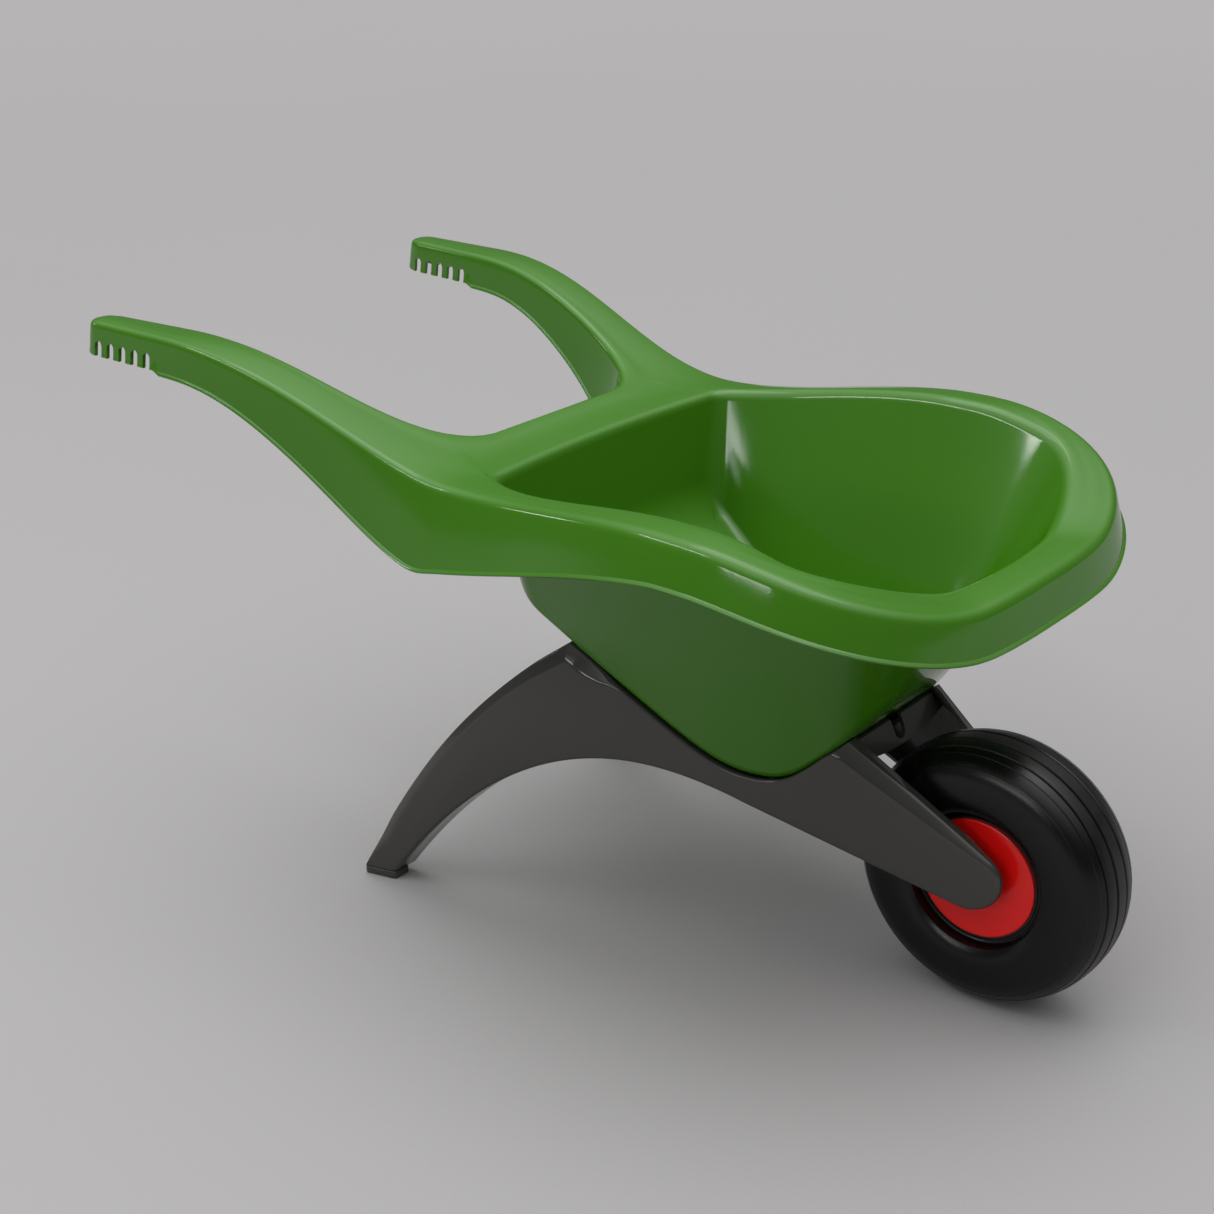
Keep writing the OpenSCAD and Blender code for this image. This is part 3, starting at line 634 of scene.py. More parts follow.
@dataclass(frozen=True)
class PaleFloor:
    """Matt grey floor with a paper-like grain, so faint that only a close look shows it; its colour is
    painted darker near the middle and lighter far away, to even out the lamps' light on it.
    """

    name: str
    # near is painted shade under the lamps' brighter middle; far is painted light where less of their light
    # reaches
    near: tuple[float, float, float]
    far: tuple[float, float, float]

    def material(self) -> bpy.types.Material:
        """Builds the material and returns it."""
        made, g, shader, place = surface(self.name, {"Specular IOR Level": 0.12})
        grain = g.noise(place, 420.0, 2.0, 0.6)
        wide = g.noise(place, 1.4, 1.0, 0.4)
        shade = ((grain - 0.5) * 0.5 + (wide - 0.5) * 0.25 + 0.5).held()
        # painted light: the colour runs from the darker near tone to the lighter far tone with distance from
        # the floor's middle, to make up for the lamps' light falling off
        painted_falloff = g.wire("ShaderNodeVectorMath", {"operation": "LENGTH"}, {0: place}, "Value").above(0.6, 6.5)
        low, high = (g.blend(painted_falloff, *((*(c * k for c in tone), 1.0) for tone in (self.near, self.far)))
                     for k in (0.955, 1.045))
        g.plug(g.blend(shade, low, high), shader.inputs["Base Color"])
        g.plug(0.78 + grain * 0.1, shader.inputs["Roughness"])
        return made


class Finishes:
    """Every finish of the object, by the record's slot."""

    def __init__(self, place: Place) -> None:
        """Builds the materials.

        Args:
            place: Where the axle lies, which centres the tyre's rings.
        """
        centre = (place.axle_x / 1000.0, 0.0, place.axle_h / 1000.0)
        self.tray_green = MouldedPlastic("tray_green", (0.046, 0.181, 0.006), (0.10, 0.28, 0.035), 0.10,
                                         rough_spread=0.05, rub=0.16).material()
        self.frame_charcoal = MouldedPlastic("frame_charcoal", (0.047, 0.046, 0.043), (0.10, 0.10, 0.095),
                                             0.13, grain=1300.0, grain_depth=0.00006, rub=0.3).material()
        self.cap_black = MouldedPlastic("cap_black", (0.042, 0.041, 0.039), (0.09, 0.09, 0.085), 0.25,
                                        grain=1300.0, grain_depth=0.00006).material()
        self.rim_black = MouldedPlastic("rim_black", (0.005, 0.005, 0.005), (0.03, 0.03, 0.03),
                                        0.42).material()
        self.hub_red = MouldedPlastic("hub_red", (0.90, 0.008, 0.006), (0.92, 0.05, 0.04), 0.2,
                                      rough_spread=0.05, rub=0.2).material()
        self.tyre_black = MouldedTyre("tyre_black", (0.002, 0.002, 0.002), (0.02, 0.019, 0.018),
                                      centre, place.axle_h / 1000.0).material()
        self.steel = PlatedSteel("steel").material()
        self.nylon = MouldedPlastic("nylon", (0.72, 0.70, 0.62), (0.8, 0.8, 0.75), 0.4).material()

    def of(self, slot: str) -> bpy.types.Material:
        """Returns the material of a slot."""
        return getattr(self, slot)


def dress(piece: bpy.types.Object, material: bpy.types.Material) -> bpy.types.Object:
    """Gives every face of a piece one material and returns the piece."""
    piece.data.materials.clear()
    piece.data.materials.append(material)
    piece.data.polygons.foreach_set("material_index", [0] * len(piece.data.polygons))
    return piece


def settle(piece: bpy.types.Object, body: Body, slot: str, finishes: Finishes, *nodes: str) -> None:
    """Dresses a piece, seats it on its body and reports it.

    Args:
        piece: The finished piece.
        body: The body that it rides on.
        slot: The record's slot that it takes its finish from.
        finishes: The object's finishes.
        nodes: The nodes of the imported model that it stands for.
    """
    dress(piece, finishes.of(slot))
    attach(piece, body.value)
    if nodes:
        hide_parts(*nodes)
    log.info("%s: %d points, %d faces, on %s", piece.name, len(piece.data.vertices),
             len(piece.data.polygons), body.value)


# ---------- geometry node trees ----------
@dataclass
class Recipe:
    """A geometry node tree with named inputs, which bakes into a plain mesh."""

    name: str

    def __post_init__(self) -> None:
        """Makes the empty tree with its geometry sockets."""
        tree = bpy.data.node_groups.new(self.name, "GeometryNodeTree")
        self.graph = Graph(tree)
        tree.interface.new_socket(name="Geometry", in_out="INPUT", socket_type="NodeSocketGeometry")
        tree.interface.new_socket(name="Geometry", in_out="OUTPUT", socket_type="NodeSocketGeometry")
        self.tree = tree
        self.entry = self.graph.node("NodeGroupInput")

    def size(self, name: str, kind: str = "Float") -> Wire:
        """Adds a named input.

        Args:
            name: The input's name.
            kind: Float, Int or Vector.

        Returns:
            The input's wire.
        """
        self.tree.interface.new_socket(name=name, in_out="INPUT", socket_type=f"NodeSocket{kind}")
        return Wire(self.graph, self.entry.outputs[name])

    def end(self, geometry: Wire, material: bpy.types.Material) -> None:
        """Ends the tree in Realize Instances and Set Material."""
        real = self.graph.wire("GeometryNodeRealizeInstances", {}, {0: geometry})
        dressed = self.graph.wire("GeometryNodeSetMaterial", {}, {"Geometry": real, "Material": material})
        self.graph.node("NodeGroupOutput", {}, {0: dressed})

    def bake(self, name: str, values: dict[str, Value],
             source: bpy.types.Mesh | None = None) -> bpy.types.Object:
        """Runs the tree and keeps the result as a plain mesh.

        Args:
            name: The new object's name.
            values: The named inputs' values.
            source: The mesh that goes in, if the tree needs one.

        Returns:
            The object, linked to the scene.
        """
        piece = link(bpy.data.objects.new(name, source or bpy.data.meshes.new(name)))
        modifier = piece.modifiers.new(self.name, "NODES")
        modifier.node_group = self.tree
        for item in self.tree.interface.items_tree:
            if item.item_type == "SOCKET" and item.in_out == "INPUT" and item.name in values:
                modifier[item.identifier] = values[item.name]
        return applied(piece)


def revolve_recipe(material: bpy.types.Material) -> Recipe:
    """Makes a tree that turns a profile about a line along y.

    The profile is a row of points: x is the radius and y the place along the line.

    Args:
        material: What the result is made of.

    Returns:
        The recipe, with inputs Around, Points and Centre.
    """
    recipe = Recipe("Revolve")
    g = recipe.graph
    around, count, centre = (recipe.size("Around", "Int"), recipe.size("Points", "Int"),
                             recipe.size("Centre", "Vector"))
    grid = g.wire("GeometryNodeMeshGrid", {}, {"Vertices X": around + 1, "Vertices Y": count})
    index = g.wire("GeometryNodeInputIndex")
    row = index % count
    column = (index / count).math("FLOOR")
    position = g.wire("GeometryNodeInputPosition")
    read = g.node("GeometryNodeSampleIndex", {"data_type": "FLOAT_VECTOR", "domain": "POINT"})
    g.plug(Wire(g, recipe.entry.outputs[0]), read.inputs[0])
    g.plug(position, read.inputs["Value"])
    g.plug(row, read.inputs["Index"])
    profile = g.node("ShaderNodeSeparateXYZ", {}, {0: Wire(g, read.outputs[0])})
    radius, along = Wire(g, profile.outputs[0]), Wire(g, profile.outputs[1])
    turn = column / around * (2 * math.pi)
    spun = g.wire("ShaderNodeCombineXYZ", {},
                  {0: radius * turn.math("COSINE"), 1: along, 2: radius * turn.math("SINE")})
    placed = g.wire("ShaderNodeVectorMath", {"operation": "ADD"}, {0: spun, 1: centre})
    moved = g.wire("GeometryNodeSetPosition", {}, {"Geometry": grid, "Position": placed})
    merged = g.wire("GeometryNodeMergeByDistance", {}, {"Geometry": moved, "Distance": 1e-6})
    recipe.end(merged, material)
    return recipe


def slot_recipe(material: bpy.types.Material) -> Recipe:
    """Makes a tree of upright round-topped bars along both grips, which cut the finger slots.

    Args:
        material: What the cut walls are made of.

    Returns:
        The recipe, with inputs Count, Pitch, Width, Drop, Reach and Start.
    """
    recipe = Recipe("FingerSlots")
    g = recipe.graph
    count, pitch = recipe.size("Count", "Int"), recipe.size("Pitch")
    width, drop, reach = recipe.size("Width"), recipe.size("Drop"), recipe.size("Reach")
    start = recipe.size("Start", "Vector")
    bar = g.wire("GeometryNodeMeshCylinder", {"fill_type": "NGON"},
                 {"Vertices": 40, "Side Segments": 1, "Fill Segments": 1, "Radius": width * 0.5,
                  "Depth": reach})
    local = g.node("ShaderNodeSeparateXYZ", {}, {0: g.wire("GeometryNodeInputPosition")})
    below = Wire(g, local.outputs[1]).math("LESS_THAN", 0.0)
    lowered = g.wire("ShaderNodeCombineXYZ", {}, {1: -(below * drop)})
    bar = g.wire("GeometryNodeSetPosition", {}, {"Geometry": bar, "Offset": lowered})
    bar = g.wire("GeometryNodeTransform", {}, {"Geometry": bar, "Rotation": (math.pi / 2, 0.0, 0.0)})
    step = g.wire("ShaderNodeCombineXYZ", {}, {0: pitch})
    row = g.wire("GeometryNodeMeshLine", {"mode": "OFFSET"},
                 {"Count": count, "Start Location": start, "Offset": step})
    other = g.wire("GeometryNodeTransform", {}, {"Geometry": row, "Scale": (1.0, -1.0, 1.0)})
    both = g.node("GeometryNodeJoinGeometry")
    g.plug(row, both.inputs[0])
    g.plug(other, both.inputs[0])
    bars = g.wire("GeometryNodeInstanceOnPoints", {}, {"Points": Wire(g, both.outputs[0]), "Instance": bar})
    recipe.end(bars, material)
    return recipe


# ---------- tray ----------
@dataclass
class Tray:
    """The tray: tub, rolled rim, two channel-shaped handles and their finger slots."""

    handle_reach: float = 680.0
    rear_edge: float = 383.0
    nose_reach: float = 29.0
    grip_half: float = 185.0
    rim_half: float = 193.0
    waist_half: float = 165.0
    grip_w: float = 25.0
    grip_h: float = 397.0
    waist_h: float = 333.0
    crest_h: float = 353.5
    nose_h: float = 309.5
    nose_pull: float = 7.0
    nose_turn: float = 26.0
    skirt_crest: float = 31.0
    skirt_waist: float = 62.0
    skirt_grip: float = 28.0
    wall: float = 3.0
    rim_round: float = 7.0
    lip_round: float = 6.0
    floor_h: float = 139.0
    floor_slope: float = 0.718
    front_slope: float = 1.14
    opening_half: float = 163.0
    opening_rear_half: float = 129.0
    opening_rear: float = 326.0
    fold_round: float = 20.0
    side_fold: float = 8.0
    side_gap: float = 0.8
    fork_half: float = 45.0
    splay: float = 13.97
    frame_wall: float = 3.2
    grip_flare: float = 0.12
    bead_h: float = 3.0
    bead_out: float = 1.2
    slot_count: int = 5
    slot_w: float = 7.6
    slot_pitch: float = 13.5
    slot_top: float = 13.5
    slot_first: float = 16.0
    slots_rise: float = 2.5
    end_run: float = 9.0
    end_rise: float = 7.0
    crown: float = 0.7
    nose_n: int = 44
    side_n: int = 44
    corner_n: int = 5
    spine_n: int = 72
    cap_n: int = 7
    rear_n: int = 16
    fold_n: int = 12
    boss_r: float = 5.0
    screw_inset: float = 13.0
    screws: tuple[tuple[float, float], ...] = ((-243.0, 3.5), (-137.0, 6.8))

    rim_square: float = 2.9
    opening_square: float = 2.0
    floor_square: float = 2.5
    rim_wide_x: float = -125.0
    waist_front_x: float = -345.0
    waist_back_x: float = -375.0
    waist_x: float = -340.0
    straight_x: float = -560.0
    corner_back_x: float = -400.0
    corner_taps: int = 4
    corner_step: float = 3.0
    opening_wide_x: float = -75.0
    grip_bend: float = 95.0
    grip_level: float = 80.0
    grip_end: float = 13.0
    crest_run: float = 200.0
    skirt_back_x: float = -580.0
    skirt_fall: float = 215.0
    skirt_corner_x: float = -358.0
    skirt_climb: float = 218.0
    skirt_ease: float = 0.07
    side_flare: float = 0.28
    flare_back_x: float = -480.0
    flare_run: float = 200.0
    nose_upright: float = 0.02
    nose_run: float = 120.0
    round_run: float = 260.0
    crotch_half: float = 149.1
    rear_flat: float = 59.4
    waist_corner: float = 20.0
    rim_land: float = 29.0
    opening_cut: float = 9.0
    opening_bow: float = 7.0
    floor_wide_x: float = -100.0
    floor_back: float = 95.0
    floor_inset: float = 7.0
    floor_cut: float = 22.0
    floor_bow: float = 3.0
    wall_slant: float = 1.05

    # -- plan and heights --
    def outer_w(self, x: float) -> float:
        """Returns half of the rim's width at x."""
        if x < self.waist_front_x:
            bend_x = self.grip_bend - self.handle_reach
            return mix(self.waist_half, self.grip_half,
                       ease((self.waist_back_x - x) / (self.waist_back_x - bend_x)))
        return mix(self.waist_half, self.rim_half,
                   ease((x - self.waist_front_x) / (self.rim_wide_x - self.waist_front_x)))

    def side_top(self, x: float) -> float:
        """Returns the height of the top along the sides at x."""
        if x < self.waist_x:
            front = self.grip_level - self.handle_reach
            return mix(self.grip_h, self.waist_h, ease(clamp((x - front) / (self.waist_x - front)) ** 1.2))
        return mix(self.waist_h, self.crest_h, ease((x - self.waist_x) / self.crest_run))

    def top_h(self, p: Sequence[float]) -> float:
        """Returns the height of the top at a plan point."""
        if p[0] < self.rim_wide_x:
            return self.side_top(p[0])
        turn = math.degrees(math.atan2(abs(p[1]), p[0] - self.rim_wide_x))
        return mix(self.nose_h, self.crest_h, ease((turn - self.nose_turn) / (90 - self.nose_turn)))

    def skirt_h(self, p: Sequence[float]) -> float:
        """Returns the depth of the skirt at a plan point, with its corner under the waist rounded."""
        x = p[0]
        if x < self.corner_back_x:
            return self.skirt_at(x)
        taps = range(1 - self.corner_taps, self.corner_taps)
        total = sum(self.skirt_at(x + k * self.corner_step) * (self.corner_taps - abs(k)) for k in taps)
        return total / self.corner_taps ** 2

    def skirt_at(self, x: float) -> float:
        """Returns the depth of the skirt at x before its corner is rounded."""
        if x < self.skirt_corner_x:
            fall = ease((x - self.skirt_back_x) / self.skirt_fall) ** 1.15
            return mix(self.skirt_grip, self.skirt_waist, fall) - self.grip_rise(x)
        climb = clamp((x - self.skirt_corner_x) / self.skirt_climb)
        return mix(self.skirt_waist, self.skirt_crest,
                   climb ** 0.75 * ease(0.5 + clamp(climb / self.skirt_ease) / 2))

    def grip_rise(self, x: float) -> float:
        """Returns how far the skirt is cut up at x, along the finger slots and at the grip's end."""
        front = self.slot_first + self.slot_pitch * (self.slot_count - 0.5) - self.handle_reach
        end = clamp((self.end_run - self.handle_reach - x) / self.end_run)
        return (self.slots_rise * (1 - ease((x - front) / self.slot_w))
                + self.end_rise * (1 - math.sqrt(1 - end * end)))

    def bead(self, h: float) -> float:
        """Returns how far the bead stands out under a skirt of depth h; it fades out beside the slots."""
        return self.bead_out * ease((h - self.skirt_grip + self.slots_rise) / self.bead_h)

    def flare(self, p: Sequence[float]) -> float:
        """Returns how far the skirt leans outwards, as a share of its depth."""
        side = mix(self.grip_flare, self.side_flare, ease((p[0] - self.flare_back_x) / self.flare_run))
        return side - self.nose_upright * ease((p[0] - self.rim_wide_x) / self.nose_run)

    def edge_round(self, p: Sequence[float]) -> float:
        """Returns the rounding of the rim's outer edge at a plan point."""
        return self.rim_round * mix(0.7, 1.0, ease((p[0] - self.flare_back_x) / self.round_run))

    # -- loops --
    def nose(self, cx: float, a: float, b: float, n: float) -> list[list[float]]:
        """Returns a quarter of a rounded-square oval from the nose to the side."""
        turns = [math.pi / 2 * i / self.nose_n for i in range(self.nose_n + 1)]
        return [[cx + a * max(math.cos(t), 0.0) ** (2 / n), b * max(math.sin(t), 0.0) ** (2 / n)]
                for t in turns]

    def spine_x(self, k: int) -> float:
        """Returns the x of a station along the handle."""
        return mix(self.waist_front_x - self.waist_corner, self.grip_end - self.handle_reach,
                   (k / self.spine_n) ** 0.94)

    def crotch(self, t: float) -> np.ndarray:
        """Returns a point of the curve between a handle's inner edge and the rear rim."""
        return arc3((self.straight_x, self.crotch_half), (self.straight_x + 88.5, 137.2),
                    (4.5 - self.rear_edge, 118.4), (-self.rear_edge, self.rear_flat), t)

    def outer_loop(self) -> np.ndarray:
        """Returns half of the tray's outer edge, from the nose round the handle to the rear's middle."""
        end_a, crotch_t = self.grip_end, 0.74
        curve_n = sum(self.spine_x(k) > self.straight_x for k in range(self.spine_n + 1)) - 1

        def inner_edge(x: float) -> float:
            """Returns the y of a grip's inner edge."""
            return mix(self.crotch_half, self.grip_half - self.grip_w,
                       clamp((self.straight_x - x) / (self.handle_reach + self.straight_x)))

        loop = self.nose(self.rim_wide_x, self.nose_reach - self.nose_pull - self.rim_wide_x,
                         self.rim_half, self.rim_square)
        for i in range(1, self.side_n + 1):
            x = mix(self.rim_wide_x, self.waist_front_x, (i / self.side_n) ** 1.1)
            loop.append([x, self.outer_w(x)])
        for i in range(1, self.corner_n + 1):
            x = self.waist_front_x - self.waist_corner * i / self.corner_n
            loop.append([x, self.outer_w(x)])
        loop += [[self.spine_x(k), self.outer_w(self.spine_x(k))] for k in range(1, self.spine_n + 1)]
        for i in range(1, 2 * self.cap_n):
            t = math.pi / 2 * (1 - i / self.cap_n)
            loop.append([end_a - self.handle_reach - end_a * abs(math.cos(t)) ** 0.85,
                         self.grip_half - self.grip_w / 2
                         + math.copysign(1, t) * self.grip_w / 2 * abs(math.sin(t)) ** 0.85])
        loop.append([self.spine_x(self.spine_n), inner_edge(self.spine_x(self.spine_n))])
        for k in range(self.spine_n - 1, -1, -1):
            x = self.spine_x(k)
            loop.append([x, inner_edge(x)] if k > curve_n
                        else list(self.crotch(crotch_t * (1 - k / (curve_n + 1)))))
        loop += [list(self.crotch(mix(crotch_t, 1.0, i / self.corner_n)))
                 for i in range(1, self.corner_n + 1)]
        loop += [[-self.rear_edge, self.rear_flat * (1 - i / self.rear_n)] for i in range(1, self.rear_n + 1)]
        return np.array(loop)

    def tub_loop(self, cx: float, a: float, n: float, rear: float, width: Curve, cut: float,
                 bow: float) -> np.ndarray:
        """Returns half of a loop round the tub.

        Args:
            cx: Where the nose's oval starts.
            a: The oval's length.
            n: The oval's squareness.
            rear: The x of the rear, positive backwards.
            width: Half of the width at x.
            cut: How far the rear corners are rounded.
            bow: How far the rear bows out.

        Returns:
            Rows of x and y.
        """
        side_end = [cut - rear, width(cut - rear)]
        corner = [-rear, width(-rear)]
        rear_end = [-rear - bow * cut / width(-rear) * 2, width(-rear) - cut]
        loop = self.nose(cx, a, width(cx), n)
        for i in range(1, self.side_n + 1):
            x = mix(cx, cut - rear, (i / self.side_n) ** 1.1)
            loop.append([x, width(x)])
        loop += [list(arc2(side_end, corner, rear_end, i / (2 * self.corner_n)))
                 for i in range(1, 2 * self.corner_n + 1)]
        for i in range(1, self.rear_n + 1):
            y = rear_end[1] * (1 - i / self.rear_n)
            loop.append([rear_end[0] - bow * (1 - (y / rear_end[1]) ** 2), y])
        return np.array(loop)

    def opening_w(self, x: float) -> float:
        """Returns half of the opening's width at x."""
        u = (self.opening_wide_x - x) / (self.opening_rear + self.opening_wide_x)
        bend = math.copysign(abs(u) ** 4.5, u)
        return self.opening_half - (self.opening_half - self.opening_rear_half) * (0.12 * u + 0.88 * bend)

    def web_inner(self, x: float) -> float:
        """Returns the y of the frame web's inner face at x."""
        a = math.radians(self.splay)
        return self.fork_half - x * math.tan(a) - self.frame_wall / math.cos(a)

    def floor_w(self, x: float) -> float:
        """Returns half of the floor's width inside at x."""
        return self.web_inner(x) - self.side_gap - self.wall * self.wall_slant

    def floor_bends(self, x: float) -> tuple[float, float]:
        """Returns the floor's rise over its lowest place, and its slope, at x."""
        rise = tilt = 0.0
        for at_x, m, soft in ((-165.0, -self.floor_slope, 25.0), (-122.0, self.front_slope, 16.0)):
            u = x - at_x
            s = math.sqrt(u * u + soft * soft)
            rise += (m * u + abs(m) * s) / 2
            tilt += (m + abs(m) * u / s) / 2
        return rise, tilt

    def floor_top(self, x: float) -> float:
        """Returns the height of the floor inside at x."""
        return self.floor_h + self.floor_bends(x)[0]

    def floor_under(self, x: float) -> float:
        """Returns the height of the floor's underside at x."""
        return self.floor_top(x) - self.wall * math.hypot(1.0, self.floor_bends(x)[1])

    # -- the skin --
    def inner_of(self, i: int, half: int, opening: int) -> int:
        """Finds the point of the inner ring that faces a station of the outer edge.

        Args:
            i: The outer station.
            half: How many stations half of the outer edge has.
            opening: How many points the opening's loop has.

        Returns:
            The number in the opening's loop, the left spine and then the right spine.
        """
        corner = self.nose_n + self.side_n + self.corner_n
        spine, cap = self.spine_n, self.cap_n
        if i >= half:
            j = self.inner_of(2 * half - 2 - i, half, opening)
            return (opening - j) % opening if j < opening else j + spine
        if i <= corner:
            return i
        if i <= corner + spine:
            return opening + i - corner - 1
        if i <= corner + spine + 2 * cap:
            return opening + spine - 1
        if i < corner + 2 * spine + 2 * cap:
            return opening + 2 * spine + 2 * cap + corner - i - 1
        return i - 2 * spine - 2 * cap

    @staticmethod
    def whole(half: np.ndarray) -> np.ndarray:
        """Returns the full loop of a half loop and its mirror image."""
        return np.concatenate([half, half[-2:0:-1] * [1.0, -1.0]])

    def spine(self, start: Sequence[float]) -> np.ndarray:
        """Returns the crest line of a handle, from the opening's corner to the grip."""
        mid_x = -450.0
        mid_y = (self.outer_w(mid_x) + 126) / 2
        rows = []
        for k in range(1, self.spine_n + 1):
            x = mix(start[0], self.spine_x(self.spine_n), k / self.spine_n)
            y = mix(mid_y, start[1], (x - mid_x) / (start[0] - mid_x)) if x > mid_x else \
                mix(mid_y, self.grip_half - self.grip_w / 2, ease((mid_x - x) / 160))
            rows.append([x, y])
        return np.array(rows)

    def skin(self) -> Shell:
        """Builds the tray's closed skin.

        Returns:
            The shell, without the bosses and the finger slots.
        """
        shell = Shell()
        outer = self.whole(self.outer_loop())
        opening = self.whole(self.tub_loop(
            self.opening_wide_x, self.nose_reach - self.nose_pull - self.rim_land - self.opening_wide_x,
            self.opening_square, self.opening_rear, self.opening_w, self.opening_cut, self.opening_bow))
        tub_floor = self.whole(self.tub_loop(
            self.floor_wide_x, self.nose_reach - self.floor_back - self.floor_wide_x, self.floor_square,
            self.opening_rear - self.floor_inset, self.floor_w, self.floor_cut, self.floor_bow))
        normal, rim_in, floor_in = outwards(outer), outwards(opening), outwards(tub_floor)
        spine = self.spine(opening[self.nose_n + self.side_n + self.corner_n])
        spines = np.concatenate([spine, spine * [1.0, -1.0]])
        half = len(outer) // 2 + 1
        index = [self.inner_of(i, half, len(opening)) for i in range(len(outer))]

        def edge(rule: Callable[[float, float, float, float], Sequence[float]]) -> list[int]:
            """Adds a ring beside the outer edge; the rule gives its outward offset and height."""
            rows = []
            for p, n in zip(outer, normal):
                off, z = rule(self.top_h(p), self.skirt_h(p), self.flare(p), self.edge_round(p))
                rows.append((p[0] + n[0] * off, p[1] + n[1] * off, z))
            return shell.ring(rows)

        def rounding(t: float) -> list[int]:
            """Adds a ring of the rounded outer edge."""
            return edge(lambda z, h, k, r: arc2(
                (-r, z), (0, z), np.array((0, z)) + unit(np.array((k, -1.0))) * r, t))

        def to_floor(i: int) -> np.ndarray:
            """Returns the direction from the opening's edge to the floor's edge."""
            a = np.array([*opening[i], self.top_h(opening[i])])
            return unit(np.array([*tub_floor[i], self.floor_top(tub_floor[i][0])]) - a)

        def lip(i: int, t: float) -> np.ndarray:
            """Returns a point of the rounding into the tub."""
            z = self.top_h(opening[i])
            start = np.array([*(opening[i] + rim_in[i] * self.lip_round), z + self.crown])
            a = np.array([*opening[i], z + self.crown * 0.6])
            return arc2(start, a, a + to_floor(i) * self.lip_round * 1.2, t)

        def fold(i: int, t: float, out: float, height: Curve) -> np.ndarray:
            """Returns a point of the rounding between the wall and the floor."""
            r = mix(self.fold_round, self.side_fold, floor_in[i][1] ** 2) + out / 2
            a = tub_floor[i] + floor_in[i] * out
            f = np.array([*a, height(a[0])])
            b = a - floor_in[i] * r
            return arc2(f - to_floor(i) * r, f, np.array([*b, height(b[0])]), t)

        count = len(opening)
        top = shell.ring([lip(i, 0.0) for i in range(count)]
                         + [(p[0], p[1], self.top_h(p) + self.crown) for p in spines])
        rings = [rounding(t) for t in (0.0, 0.16, 0.32, 0.5, 0.68, 0.84, 1.0)]
        across = []
        for share in (0.3, 0.6, 0.85):
            rows = []
            for i, j in enumerate(index):
                a, b = shell.points[top[j]], shell.points[rings[0][i]]
                row = a + (b - a) * share
                row[2] = self.top_h(row) + self.crown * (1 - share * share)
                rows.append(row)
            across.append(shell.ring(rows))
        high, wall = self.bead_h, self.wall
        rings += [
            edge(lambda z, h, k, r: (k * mix(r, h, 0.5), z - mix(r, h, 0.5))),
            edge(lambda z, h, k, r: (k * (h - high) - 0.1, z - h + high)),
            edge(lambda z, h, k, r: (k * (h - high) + self.bead(h) * 0.7, z - h + high - 0.5)),
            edge(lambda z, h, k, r: (k * h + self.bead(h), z - h + high * 0.45)),
            edge(lambda z, h, k, r: (k * h + self.bead(h), z - h + 0.7)),
            edge(lambda z, h, k, r: (k * h + self.bead(h) - 0.7, z - h)),
            edge(lambda z, h, k, r: (k * h - wall + 0.5, z - h)),
            edge(lambda z, h, k, r: (k * h - wall, z - h + 0.5)),
            edge(lambda z, h, k, r: (k * r - wall, z - r)),
            edge(lambda z, h, k, r: (-r, z - wall))]
        slant = wall * self.wall_slant
        under = shell.ring([(*(opening[i] + rim_in[i] * slant), self.top_h(opening[i]) - wall)
                            for i in range(count)]
                           + [(p[0], p[1], self.top_h(p) - wall) for p in spines])
        inside = [shell.ring([lip(i, t / 7) for i in range(count)]) for t in range(1, 8)]
        steps = [t / self.fold_n for t in range(self.fold_n + 1)]
        inside += [shell.ring([fold(i, t, 0.0, self.floor_top) for i in range(count)]) for t in steps]
        outside = [shell.ring([fold(i, t, slant, self.floor_under) for i in range(count)])
                   for t in steps]
        first = [top[j] for j in index]
        for a, b in zip([first, *across], [*across, rings[0]]):
            shell.bridge(a, b)
        for a, b in zip(rings, rings[1:]):
            shell.bridge(a, b)
        below = [under[j] for j in index]
        inward = [rings[-1]]
        for share in (0.15, 0.4, 0.7):
            rows = [shell.points[i] + (shell.points[j] - shell.points[i]) * share
                    for i, j in zip(rings[-1], below)]
            inward.append(shell.ring([(*row[:2], self.top_h(row) - wall) for row in rows]))
        for a, b in zip(inward, [*inward[1:], below]):
            shell.bridge(a, b)
        shell.bridge(inside[0], top[:count])
        for a, b in zip(inside, inside[1:]):
            shell.bridge(b, a)
        shell.bridge(under[:count], outside[0])
        for a, b in zip(outside, outside[1:]):
            shell.bridge(a, b)
        for ring, turned in ((inside[-1], False), (outside[-1], True)):
            self.floor_face(shell, ring, turned)
        return shell

    @staticmethod
    def floor_face(shell: Shell, ring: Sequence[int], turned: bool) -> None:
        """Closes a mirrored ring with strips that run across the tub.

        Args:
            shell: The skin.
            ring: The ring, which starts at the nose.
            turned: True to turn the faces the other way.
        """
        n = len(ring)
        for i in range(n // 2):
            corners = [ring[i], ring[i + 1], ring[(n - i - 1) % n], ring[(n - i) % n]]
            kept = [c for k, c in enumerate(corners) if c != corners[k - 1]]
            if len(set(kept)) > 2:
                shell.faces.append(tuple(kept[::-1] if turned else kept))

